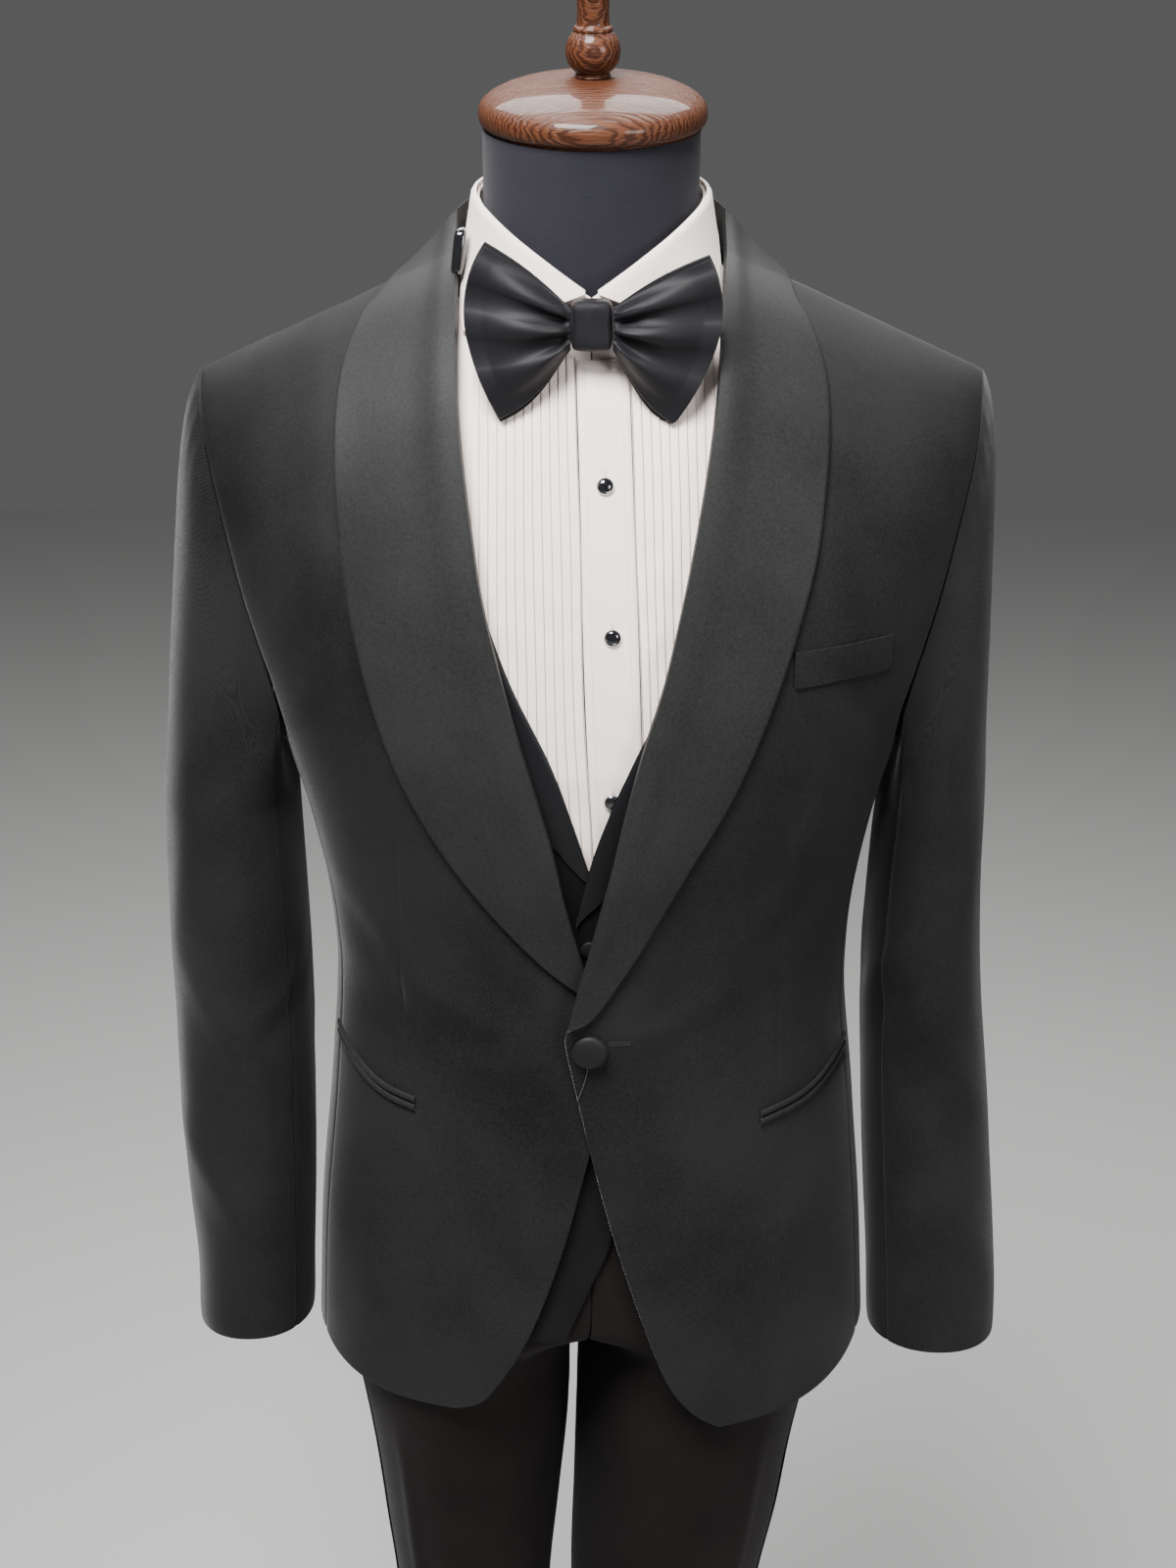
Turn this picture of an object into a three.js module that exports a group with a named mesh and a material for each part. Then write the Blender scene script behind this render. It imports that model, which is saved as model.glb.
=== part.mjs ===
import * as THREE from 'three';

// A tuxedo on a limbless dress form: shawl collar dinner jacket, waistcoat, pin-tucked shirt, bow tie and
// trousers, each cut as a maker cuts it, on a form with a wooden neck cap, a pole and a round base.
// Millimetres, +Z up, the floor at z = 0, the front towards -Y. "Left" is the wearer's left, towards +X.

// Driving sizes of the trunk that every layer is draped on
const CHEST_LEVEL = 1285;
const SHOULDER_LEVEL = 1500;
const SHOULDER_HALF = 232;
const SHOULDER_TIP_Z = 1499;
const SHOULDER_SLOPE = 0.443;
const TRUNK_EXPONENT = 2.4;
const CHEST_FRONT = 138;
const CHEST_BACK = 128;
const BLADE_FULLNESS = 0.15;
const DEGREE = Math.PI / 180;

// Cloth layers, as distances out from the jacket's outer face
const JACKET = { outer: 0, inner: -2 };
const SHAWL = { outer: 4, inner: 2.5 };
const WAISTCOAT = { outer: -5.2, inner: -6.3 };
const WAISTCOAT_FACING = { outer: -3.7, inner: -4.8 };
const SHIRT = { outer: -9.9, inner: -10.9 };
const SHIRT_BACK = { outer: -10.8, inner: -11.8 };
const TUCK_HEIGHT = 0.9;
const PLACKET = { outer: -8.4, inner: -9.6 };
const WAISTBAND = { outer: -9.2, inner: -10.7 };
const TRIM = { outer: 1.9, inner: 0.5 };
const SEAM_GAP = 0.3;
const SHOULDER_SEAM_LEVEL = 1499.75;

// Half width, front depth and back depth of the trunk below the armholes
const TRUNK = [
  { z: 840, half: 187, front: 138, back: 132 },
  { z: 870, half: 186, front: 137, back: 134 },
  { z: 950, half: 181, front: 132, back: 132 },
  { z: 1054, half: 170, front: 126, back: 116 },
  { z: 1126, half: 164, front: 124, back: 108 },
  { z: 1175, half: 167, front: 127, back: 112 },
  { z: 1235, half: 178, front: 134, back: 121 },
  { z: 1285, half: 192, front: CHEST_FRONT, back: CHEST_BACK },
];

// Half width of the upper trunk by its climb from chest level, 0, to the shoulder ridge, 90 degrees
const YOKE = [
  { climb: 0, half: 192 },
  { climb: 20, half: 219 },
  { climb: 35, half: 233 },
  { climb: 55, half: 246 },
  { climb: 90, half: 254 },
];

// Smooth value of a table's column between its rows
function read(table, key, name, at) {
  const last = table.length - 1;
  const spot = Math.min(Math.max(at, table[0][key]), table[last][key]);
  let row = 0;
  while (row < last - 1 && table[row + 1][key] < spot) row += 1;
  const slope = (i) => {
    const before = table[Math.max(i - 1, 0)];
    const after = table[Math.min(i + 1, last)];
    return (after[name] - before[name]) / (after[key] - before[key]);
  };
  const span = table[row + 1][key] - table[row][key];
  const t = (spot - table[row][key]) / span;
  const t2 = t * t;
  const t3 = t2 * t;
  return (2 * t3 - 3 * t2 + 1) * table[row][name] + (t3 - 2 * t2 + t) * span * slope(row)
    + (3 * t2 - 2 * t3) * table[row + 1][name] + (t3 - t2) * span * slope(row + 1);
}

const mix = (a, b, t) => a + (b - a) * t;
const smooth = (t) => {
  const k = Math.min(Math.max(t, 0), 1);
  return k * k * (3 - 2 * k);
};
const steps = (count) => Array.from({ length: count + 1 }, (_, i) => i / count);

const ridgeHeight = (x) => SHOULDER_TIP_Z + (SHOULDER_HALF - Math.abs(x)) * SHOULDER_SLOPE;
const ridgeDepth = (x) => 18 - 0.07 * Math.abs(x);
const climbOf = (level) => {
  const share = (level - CHEST_LEVEL) / (SHOULDER_LEVEL - CHEST_LEVEL);
  return Math.min(Math.max(share, 0), 1) * 90;
};

// A point of the trunk: theta goes round it from 0 at the front to 180 at the back, wearer's left positive
function trunk(theta, level) {
  let side = theta < 0 ? -1 : 1;
  let turn = Math.abs(theta);
  if (turn > 180) {
    turn = 360 - turn;
    side = -side;
  }
  const behind = turn > 90;
  const quarter = (behind ? 180 - turn : turn) * DEGREE;
  const across = Math.max(Math.sin(quarter), 0) ** (2 / TRUNK_EXPONENT);
  const out = Math.max(Math.cos(quarter), 0) ** (2 / TRUNK_EXPONENT);
  if (level <= CHEST_LEVEL) {
    const depth = behind ? read(TRUNK, 'z', 'back', level) : -read(TRUNK, 'z', 'front', level);
    return new THREE.Vector3(side * read(TRUNK, 'z', 'half', level) * across, depth * out, level);
  }
  const climb = climbOf(level);
  const rise = Math.sin(climb * DEGREE);
  const x = side * read(YOKE, 'climb', 'half', climb) * across;
  const depth = (behind ? CHEST_BACK : -CHEST_FRONT) * out;
  const fullness = behind ? 1 + BLADE_FULLNESS * rise * rise : 1;
  const y = ridgeDepth(x) + (depth - ridgeDepth(x)) * Math.cos(climb * DEGREE) * fullness;
  return new THREE.Vector3(x, y, CHEST_LEVEL + rise * (ridgeHeight(x) - CHEST_LEVEL));
}

// A point at a distance out from the trunk, along its normal
function skin(theta, level, distance) {
  const top = Math.min(level + 1, SHOULDER_LEVEL);
  const round = trunk(theta + 0.5, level).sub(trunk(theta - 0.5, level));
  const up = trunk(theta, top).sub(trunk(theta, top - 2));
  const normal = round.cross(up).normalize();
  return trunk(theta, level).addScaledVector(normal, distance);
}

// Theta and level of the trunk's front at a width and a height
function onFront(x, z) {
  let half = read(TRUNK, 'z', 'half', z);
  let level = z;
  if (z > CHEST_LEVEL) {
    const rise = Math.min((z - CHEST_LEVEL) / (ridgeHeight(x) - CHEST_LEVEL), 1);
    const climb = Math.asin(rise) / DEGREE;
    half = read(YOKE, 'climb', 'half', climb);
    level = mix(CHEST_LEVEL, SHOULDER_LEVEL, climb / 90);
  }
  const across = Math.min(Math.abs(x) / half, 1) ** (TRUNK_EXPONENT / 2);
  return { theta: (Math.sign(x) * Math.asin(across)) / DEGREE, level };
}

function onBack(x, z) {
  const spot = onFront(x, z);
  return { theta: (x < 0 ? -180 : 180) - spot.theta, level: spot.level };
}

// Solid pieces from rows of points

function geometryOf(points, faces) {
  const geometry = new THREE.BufferGeometry();
  const flat = points.flatMap((p) => [p.x, p.y, p.z]);
  let volume = 0;
  for (const [a, b, c] of faces) volume += points[a].dot(points[b].clone().cross(points[c]));
  const index = faces.flatMap(([a, b, c]) => (volume < 0 ? [a, c, b] : [a, b, c]));
  geometry.setAttribute('position', new THREE.Float32BufferAttribute(flat, 3));
  geometry.setIndex(index);
  geometry.computeVertexNormals();
  return geometry;
}

// A closed wall between an outer and an inner grid of points; a tube's rows close on themselves
function wall(outer, inner, tube = false) {
  const rows = outer.length;
  const cols = outer[0].length;
  const points = [...outer.flat(), ...inner.flat()];
  const at = (row, col) => row * cols + (col % cols);
  const under = (row, col) => rows * cols + at(row, col);
  const faces = [];
  const quad = (a, b, c, d) => faces.push([a, b, c], [a, c, d]);
  const lastCol = tube ? cols : cols - 1;
  for (let row = 0; row < rows - 1; row += 1) {
    for (let col = 0; col < lastCol; col += 1) {
      quad(at(row, col), at(row, col + 1), at(row + 1, col + 1), at(row + 1, col));
      quad(under(row, col), under(row + 1, col), under(row + 1, col + 1), under(row, col + 1));
    }
  }
  for (let col = 0; col < lastCol; col += 1) {
    quad(at(0, col), under(0, col), under(0, col + 1), at(0, col + 1));
    quad(at(rows - 1, col), at(rows - 1, col + 1), under(rows - 1, col + 1), under(rows - 1, col));
  }
  if (!tube) {
    for (let row = 0; row < rows - 1; row += 1) {
      quad(at(row, 0), at(row + 1, 0), under(row + 1, 0), under(row, 0));
      quad(at(row, cols - 1), under(row, cols - 1), under(row + 1, cols - 1), at(row + 1, cols - 1));
    }
  }
  return geometryOf(points, faces);
}

// A wall of even thickness inside a grid of points, square to the grid
function wallInside(grid, thickness, facing) {
  const inner = grid.map((line, row) => line.map((point, col) => {
    const right = line[Math.min(col + 1, line.length - 1)].clone().sub(line[Math.max(col - 1, 0)]);
    const up = grid[Math.min(row + 1, grid.length - 1)][col].clone().sub(grid[Math.max(row - 1, 0)][col]);
    return point.clone().addScaledVector(right.cross(up).normalize(), -thickness * facing);
  }));
  return wall(grid, inner);
}

// A solid with rings of points one above another and a flat cap on each end
function ringSolid(rings) {
  const count = rings[0].length;
  const points = rings.flat();
  const faces = [];
  for (let row = 0; row < rings.length - 1; row += 1) {
    for (let col = 0; col < count; col += 1) {
      const next = (col + 1) % count;
      faces.push([row * count + col, row * count + next, (row + 1) * count + next]);
      faces.push([row * count + col, (row + 1) * count + next, (row + 1) * count + col]);
    }
  }
  const last = (rings.length - 1) * count;
  for (const [start, flip] of [[0, true], [last, false]]) {
    const centre = points.length;
    const middle = new THREE.Vector3();
    for (let col = 0; col < count; col += 1) middle.addScaledVector(points[start + col], 1 / count);
    points.push(middle);
    for (let col = 0; col < count; col += 1) {
      const edge = [start + col, start + ((col + 1) % count)];
      faces.push(flip ? [edge[1], edge[0], centre] : [edge[0], edge[1], centre]);
    }
  }
  return geometryOf(points, faces);
}

// A turned solid about the z axis from a profile of radii and heights that begins and ends on the axis
function turned(profile, sides) {
  const line = profile.map(([radius, height]) => new THREE.Vector2(radius, height));
  const geometry = new THREE.LatheGeometry(line, sides);
  geometry.rotateX(Math.PI / 2);
  return geometry;
}

// Cloth that lies on the trunk, from rows of spots on it
function draped(spots, layer, lift = () => 0) {
  const face = (distance) => spots.map((row) => row.map(({ theta, level }) => (
    skin(theta, level, distance + lift(theta, level)))));
  return wall(face(layer.outer), face(layer.inner));
}

// Spots between two edges, a row for each pair of edge spots
function between(first, second, columns) {
  return first.map((start, i) => columns.map((u) => ({
    theta: mix(start.theta, second[i].theta, u),
    level: mix(start.level, second[i].level, u),
  })));
}

const finishes = {
  wool: { color: 0x1b1b1d, roughness: 0.85, metalness: 0 },
  satin: { color: 0x33363a, roughness: 0.45, metalness: 0 },
  cotton: { color: 0xe9e3da, roughness: 0.8, metalness: 0 },
  bow: { color: 0x161618, roughness: 0.6, metalness: 0 },
  vest: { color: 0x131315, roughness: 0.8, metalness: 0 },
  facing: { color: 0x1a1a1d, roughness: 0.45, metalness: 0 },
  trouser: { color: 0x171416, roughness: 0.85, metalness: 0 },
  stripe: { color: 0x1d1a1c, roughness: 0.5, metalness: 0 },
  button: { color: 0x202022, roughness: 0.6, metalness: 0 },
  stud: { color: 0x08080a, roughness: 0.12, metalness: 0.2 },
  jersey: { color: 0x2a2932, roughness: 0.9, metalness: 0 },
  wood: { color: 0x7a3a1c, roughness: 0.25, metalness: 0 },
  steel: { color: 0x8d8f92, roughness: 0.35, metalness: 0.9 },
};

const tuxedo = new THREE.Group();

function add(name, finish, geometry, parent = tuxedo) {
  const mesh = new THREE.Mesh(geometry, new THREE.MeshStandardMaterial(finishes[finish]));
  mesh.name = name;
  parent.add(mesh);
  return mesh;
}

const SIDES = [{ name: 'right', sign: -1 }, { name: 'left', sign: 1 }];
const turnTo = (sign, spot) => ({ theta: sign * spot.theta, level: spot.level });

// Dress form: torso and neck in one padded body, with rings as deep as the shirt leaves room for

const FORM = [
  { z: 915, half: 170, front: 120, back: 119, middle: 0, exponent: 2.4 },
  { z: 950, half: 167.8, front: 118.8, back: 118.8, middle: 0, exponent: 2.4 },
  { z: 1054, half: 155.6, front: 112.5, back: 102.8, middle: 0, exponent: 2.4 },
  { z: 1126, half: 149, front: 110, back: 94, middle: 0, exponent: 2.4 },
  { z: 1175, half: 151, front: 112, back: 97, middle: 0, exponent: 2.4 },
  { z: 1235, half: 160, front: 118, back: 104, middle: 0, exponent: 2.4 },
  { z: 1285, half: 170, front: 122, back: 111, middle: 0, exponent: 2.4 },
  { z: 1340, half: 183, front: 118, back: 109, middle: 2, exponent: 2.4 },
  { z: 1400, half: 190, front: 109, back: 105, middle: 4, exponent: 2.4 },
  { z: 1450, half: 183, front: 93, back: 95, middle: 7, exponent: 2.3 },
  { z: 1480, half: 175, front: 83, back: 89, middle: 8, exponent: 2.2 },
  { z: 1505, half: 145, front: 71, back: 80, middle: 9, exponent: 2 },
  { z: 1525, half: 105, front: 58, back: 68, middle: 9, exponent: 2 },
  { z: 1540, half: 77, front: 54, back: 61, middle: 6, exponent: 2 },
  { z: 1556, half: 63, front: 56, back: 59, middle: 2, exponent: 2 },
  { z: 1600, half: 62.5, front: 59, back: 64, middle: 2, exponent: 2 },
  { z: 1636.5, half: 62.5, front: 61, back: 63, middle: 1, exponent: 2 },
];
const FORM_SIDES = 24;
const NECK_TILT = 9 * DEGREE;

function formTorso() {
  return ringSolid(FORM.map(({ z, half, front, back, middle, exponent }, row) => (
    Array.from({ length: FORM_SIDES }, (_, i) => {
      const turn = (i / FORM_SIDES) * 2 * Math.PI;
      const reach = (v) => Math.sign(v) * Math.abs(v) ** (2 / exponent);
      const depth = Math.cos(turn) > 0 ? front + middle : back - middle;
      const y = middle - depth * reach(Math.cos(turn));
      const tilt = row === FORM.length - 1 ? y * Math.tan(NECK_TILT) : 0;
      return new THREE.Vector3(half * reach(Math.sin(turn)), y, z + tilt);
    }))));
}

// Neck cap and finial of turned wood, on the neck's flat top, which slopes down to the front
const CAP_RADIUS = 65.5;
const CAP_Z = 1637;
const CAP_PROFILE = [[0, 0], [60, 0], [CAP_RADIUS, 5], [CAP_RADIUS, 10], [61, 16], [50, 21.5], [34, 25.5],
  [0, 27]];
const FINIAL_PROFILE = [[0, 27.3], [11, 27.3], [11, 31.5], [14.2, 37], [15.3, 43], [14.2, 49], [10, 55],
  [8.8, 60], [9.5, 75], [12, 88], [9, 96], [0, 98]];

function formHead() {
  const head = new THREE.Group();
  head.position.set(0.8, 0, CAP_Z);
  head.rotation.x = NECK_TILT;
  add('form_neck_cap', 'wood', turned(CAP_PROFILE, 26), head);
  add('form_finial', 'wood', turned(FINIAL_PROFILE, 14), head);
  tuxedo.add(head);
}

// Pole inside the wearer's left trouser leg, and the round base that it stands in
const BASE_RADIUS = 200;
const BASE_TOP = 10;
const SOCKET_TOP = 34;
const POLE_RADIUS = 13;
const POLE_X = 52;
const POLE_Y = 4;

function formStand() {
  add('form_base', 'steel', turned([[0, 0], [BASE_RADIUS, 0], [BASE_RADIUS, 6],
    [BASE_RADIUS - 12, BASE_TOP], [0, BASE_TOP]], 32));
  const socket = turned([[0, BASE_TOP + 0.3], [26, BASE_TOP + 0.3], [26, 15], [18, 22],
    [18, SOCKET_TOP], [0, SOCKET_TOP]], 16);
  add('form_socket', 'steel', socket).position.set(POLE_X, POLE_Y, 0);
  const length = FORM[0].z - SOCKET_TOP - 0.6;
  const pole = new THREE.CylinderGeometry(POLE_RADIUS, POLE_RADIUS, length, 16);
  pole.rotateX(Math.PI / 2);
  add('form_pole', 'steel', pole).position.set(POLE_X, POLE_Y, SOCKET_TOP + 0.3 + length / 2);
}

// Armhole of the jacket: theta by level, from its lowest point beside the trunk up to the shoulder
const ARMHOLE = [
  { level: 1285, theta: 72 },
  { level: 1292, theta: 68 },
  { level: 1300, theta: 66.2 },
  { level: 1327, theta: 64.7 },
  { level: 1383, theta: 64.2 },
  { level: 1500, theta: 63.8 },
];
const SIDE_SEAM = 72;
const armholeTheta = (level) => (level <= CHEST_LEVEL ? SIDE_SEAM : read(ARMHOLE, 'level', 'theta', level));

// Jacket fronts: a row for each section from hem to shoulder, with the inner edge's place and the level
// where the row meets the side seam or armhole. The inner edge is the cutaway, then the roll line.
const JACKET_FRONT = {
  left: [
    { x: 83, z: 841, seam: 863 }, { x: 66, z: 853, seam: 874 }, { x: 51, z: 873, seam: 890 },
    { x: 41, z: 897, seam: 910 }, { x: 27, z: 938, seam: 945 }, { x: 13, z: 986, seam: 990 },
    { x: 2, z: 1031, seam: 1031 }, { x: -8, z: 1077, seam: 1075 }, { x: -15, z: 1113, seam: 1110 },
    { x: -14, z: 1128, seam: 1126 }, { x: -4, z: 1152, seam: 1150 }, { x: 3, z: 1178, seam: 1176 },
    { x: 10, z: 1208, seam: 1205 }, { x: 17, z: 1237, seam: 1232 }, { x: 25, z: 1271, seam: 1262 },
    { x: 33, z: 1304, seam: 1285 }, { x: 46, z: 1346, seam: 1300 }, { x: 57, z: 1395, seam: 1327 },
    { x: 64, z: 1431, seam: 1355 }, { x: 70, z: 1466, seam: 1383 }, { x: 75, z: 1501, seam: 1412 },
    { x: 78, z: 1535, seam: 1445 }, { x: 79, z: 1553, seam: 1466 }, { x: 80, z: 1563.2, seam: 1484 },
    { x: 80, z: 1566.2, seam: SHOULDER_SEAM_LEVEL },
  ],
  right: [
    { x: 87, z: 855, seam: 863 }, { x: 72, z: 861, seam: 874 }, { x: 62, z: 872, seam: 890 },
    { x: 46, z: 898, seam: 912 }, { x: 32, z: 930, seam: 940 }, { x: 16, z: 979, seam: 985 },
    { x: 3, z: 1031, seam: 1031 }, { x: -9, z: 1077, seam: 1075 }, { x: -15, z: 1113, seam: 1110 },
    { x: -13, z: 1128, seam: 1126 }, { x: 3, z: 1152, seam: 1150 }, { x: 13, z: 1178, seam: 1176 },
    { x: 20, z: 1208, seam: 1205 }, { x: 27, z: 1243, seam: 1235 }, { x: 35, z: 1275, seam: 1262 },
    { x: 45, z: 1312, seam: 1285 }, { x: 54, z: 1346, seam: 1300 }, { x: 65, z: 1390, seam: 1327 },
    { x: 71, z: 1431, seam: 1355 }, { x: 76, z: 1470, seam: 1383 }, { x: 79, z: 1505, seam: 1412 },
    { x: 80, z: 1537, seam: 1445 }, { x: 80, z: 1553, seam: 1466 }, { x: 80, z: 1563.2, seam: 1484 },
    { x: 80, z: 1566.2, seam: SHOULDER_SEAM_LEVEL },
  ],
};
const FRONT_COLUMNS = steps(8);
const HEM_SAG = 5;

// Where the fronts cross, the wearer's left front stands out over the right front and its shawl
const LAP = {
  full: 22, none: 62, shawl: 8.6, edge: 4.2, low: 900, button: 1085, high: 1215, open: 1300, under: 1.4,
};

function lapLift(theta, level) {
  const x = trunk(theta, level).x;
  const near = 1 - smooth((Math.abs(x) - LAP.full) / (LAP.none - LAP.full));
  const below = mix(0, LAP.edge, smooth((level - LAP.low) / (LAP.button - LAP.low)));
  const above = (LAP.shawl - LAP.edge) * smooth((level - LAP.button - 5) / 40);
  const open = 1 - smooth((level - LAP.high) / (LAP.open - LAP.high));
  return near * (below + above) * open;
}
const underLift = (theta, level) => (lapLift(theta, level) * LAP.under) / LAP.shawl;
const frontLift = { left: lapLift, right: underLift };

const gapAngle = (gap, level) => gap / (read(TRUNK, 'z', 'half', Math.min(level, CHEST_LEVEL)) * DEGREE);

function jacketFront({ name, sign }) {
  const table = JACKET_FRONT[name];
  const edge = table.map(({ x, z }) => onFront(x, z));
  const seam = table.map(({ seam: level }) => ({
    theta: armholeTheta(level) - gapAngle(SEAM_GAP, level),
    level,
  }));
  const spots = between(edge, seam, FRONT_COLUMNS);
  spots[0].forEach((spot, i) => {
    spot.level -= HEM_SAG * Math.sin(Math.PI * FRONT_COLUMNS[i]);
  });
  const grid = spots.map((row) => row.map((spot) => turnTo(sign, spot)));
  add(`jacket_front_${name}`, 'wool', draped(grid, JACKET, frontLift[name]));
}

const SEAM_LEVELS = [863, 890, 940, 988, 1031, 1078, 1126, 1176, 1232, 1285];

// Jacket side panel, between the front and the back under the armhole
function jacketSide({ name, sign }) {
  const columns = steps(3);
  const grid = SEAM_LEVELS.map((level, row) => columns.map((u) => {
    const inset = gapAngle(SEAM_GAP, level);
    const scoop = row === SEAM_LEVELS.length - 1 ? 5 * Math.sin(Math.PI * u) : 0;
    return turnTo(sign, { theta: mix(SIDE_SEAM + inset, 180 - SIDE_SEAM - inset, u), level: level - scoop });
  }));
  add(`jacket_side_${name}`, 'wool', draped(grid, JACKET));
}

// Top edge of a back panel: the shoulder ridge, then the neckline that dips to its centre
function backTop(theta, neckTheta, dip, top) {
  const into = Math.max(Math.abs(theta) - neckTheta, 0) / (180 - neckTheta);
  return top - dip * Math.sin((Math.min(into, 1) * Math.PI) / 2);
}

function backSpots({ hem, centreHem, rise, columns, from, to, neckTheta, dip, armhole, base, top }) {
  const rows = [...hem.map((level) => ({ level })), ...rise.map((climb) => ({ climb }))];
  return rows.map(({ level, climb }) => columns.map((u) => {
    const upLevel = climb === undefined ? level : mix(base, top, climb);
    const theta = mix(armhole ? armhole(upLevel, from) : from, to, u);
    if (climb === undefined) {
      const drop = (1 - smooth((level - hem[0]) / 250)) * (hem[0] - centreHem) * u;
      return { theta, level: level - drop };
    }
    return { theta, level: mix(base, backTop(theta, neckTheta, dip, top), climb) };
  }));
}

const BACK_NECK = { theta: 165.5, dip: 74 };
const UPPER_RISE = [0.14, 0.3, 0.46, 0.62, 0.76, 0.89, 1];

function jacketBack({ name, sign }) {
  const spots = backSpots({
    hem: SEAM_LEVELS,
    centreHem: 853,
    rise: UPPER_RISE,
    columns: [0, 0.16, 0.33, 0.5, 0.66, 0.78, 0.89, 1],
    from: 180 - SIDE_SEAM + 0.1,
    to: 179.9,
    neckTheta: BACK_NECK.theta,
    dip: BACK_NECK.dip,
    armhole: (level) => 180 - armholeTheta(level) + gapAngle(SEAM_GAP, level),
    base: CHEST_LEVEL,
    top: SHOULDER_SEAM_LEVEL,
  });
  const grid = spots.map((row) => row.map((spot) => turnTo(sign, spot)));
  add(`jacket_back_${name}`, 'wool', draped(grid, JACKET));
}

// Sleeves: rings that begin on the armhole and hang to the cuff

const ARMHOLE_RING = [
  { part: 0, theta: 63.8, level: 1500 },
  { part: 0.06, theta: 63.9, level: 1455 },
  { part: 0.14, theta: 64.1, level: 1412 },
  { part: 0.22, theta: 64.3, level: 1372 },
  { part: 0.3, theta: 64.8, level: 1333 },
  { part: 0.37, theta: 66.4, level: 1300 },
  { part: 0.43, theta: 72, level: 1285.5 },
  { part: 0.5, theta: 90, level: 1280.3 },
];

const SLEEVE = {
  left: [
    { z: 1235, inner: 183.5, outer: 247, front: -61, back: 58 },
    { z: 1168, inner: 179, outer: 250, front: -58, back: 56 },
    { z: 1098, inner: 177.5, outer: 255, front: -57, back: 50 },
    { z: 1025, inner: 180, outer: 263, front: -58, back: 40 },
    { z: 950, inner: 184.5, outer: 270, front: -61, back: 31 },
    { z: 900, inner: 187.8, outer: 274, front: -63, back: 26 },
    { z: 852, inner: 190, outer: 276.5, front: -65, back: 22 },
  ],
  right: [
    { z: 1235, inner: 186, outer: 269, front: -62, back: 60 },
    { z: 1168, inner: 184, outer: 271, front: -60, back: 57 },
    { z: 1098, inner: 183, outer: 271.5, front: -58, back: 50 },
    { z: 1025, inner: 184, outer: 271.5, front: -59, back: 41 },
    { z: 950, inner: 186.5, outer: 268.5, front: -61, back: 33 },
    { z: 905, inner: 188.5, outer: 266.5, front: -63, back: 29 },
    { z: 862, inner: 190, outer: 268, front: -64, back: 26 },
  ],
};
const HEAD_BULGE = 10.5;
const HEAD_STEPS = [0, 0.04, 0.1, 0.2, 0.4, 0.7, 1];
const SLEEVE_EXPONENT = 2.15;
const BOTTOM_GAP = 1.2;
const SLEEVE_GAP = 2.1;
const UNDERARM_OUT = 2.7;
const UNDERARM_FROM = 0.3;
const UNDERARM_RISE = 0.12;
const HEAD_TURN = 12;
const ARM_BOTTOM = 0.36;

// Armhole ring spot: part runs from 0 on the shoulder, by the front and under the arm, to 1
function armholeSpot(part) {
  const round = part - Math.floor(part);
  const behind = round > 0.5;
  const near = behind ? 1 - round : round;
  const theta = read(ARMHOLE_RING, 'part', 'theta', near);
  const out = theta + gapAngle(SLEEVE_GAP, CHEST_LEVEL);
  const level = read(ARMHOLE_RING, 'part', 'level', near) + BOTTOM_GAP * smooth((near - ARM_BOTTOM) / 0.08);
  return { theta: behind ? 180 - Math.min(out, 90) : Math.min(out, 90), level };
}

function sleevePoint(name, part, station) {
  const table = SLEEVE[name];
  const turn = part * 2 * Math.PI;
  const power = (v) => Math.sign(v) * Math.abs(v) ** (2 / SLEEVE_EXPONENT);
  const ring = ({ z, inner, outer, front, back }) => new THREE.Vector3(
    (inner + outer) / 2 + ((outer - inner) / 2) * power(Math.cos(turn)),
    (front + back) / 2 - ((back - front) / 2) * power(Math.sin(turn)),
    z,
  );
  if (station >= 1) {
    const z = table[0].z - (station - 1) * (table[0].z - table[table.length - 1].z);
    const rising = [...table].reverse();
    const row = { z };
    for (const column of ['inner', 'outer', 'front', 'back']) row[column] = read(rising, 'z', column, z);
    return ring(row);
  }
  const spot = armholeSpot(part);
  const round = part - Math.floor(part);
  const low = smooth((Math.min(round, 1 - round) - UNDERARM_FROM) / UNDERARM_RISE);
  const start = skin(spot.theta, spot.level, UNDERARM_OUT * low);
  const end = ring(table[0]);
  const crown = (0.5 + 0.5 * Math.cos(turn)) ** 1.5;
  const bulge = HEAD_BULGE * crown;
  const quick = 1 - (1 - station) ** HEAD_TURN;
  return new THREE.Vector3(
    start.x + bulge * quick + (end.x - start.x - bulge) * station ** 0.95,
    mix(start.y, end.y, station),
    mix(start.z, end.z, station),
  );
}

const SLEEVE_PANELS = [
  { name: 'top', from: -0.31, to: 0.39, columns: 9 },
  { name: 'under', from: 0.39, to: 0.69, columns: 5 },
];
const ARM_STATIONS = [...HEAD_STEPS, 1.17, 1.36, 1.55, 1.75, 1.88, 2];
const SLEEVE_WALL = 2;
const SLEEVE_SEAM = 0.0007;

function sleeve({ name, sign }) {
  for (const panel of SLEEVE_PANELS) {
    const parts = steps(panel.columns).map((u) => mix(panel.from + SLEEVE_SEAM, panel.to - SLEEVE_SEAM, u));
    const face = (depth) => ARM_STATIONS.map((station) => parts.map((part) => {
      const step = 0.004;
      const here = sleevePoint(name, part, station);
      const round = sleevePoint(name, part + step, station).sub(sleevePoint(name, part - step, station));
      const high = Math.max(station - 0.01, 0);
      const low = Math.min(station + 0.01, 2);
      const down = sleevePoint(name, part, low).sub(sleevePoint(name, part, high));
      here.addScaledVector(round.cross(down).normalize(), -depth);
      here.x *= sign;
      return here;
    }));
    add(`jacket_${panel.name}_sleeve_${name}`, 'wool', wall(face(0), face(SLEEVE_WALL)));
  }
}

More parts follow.
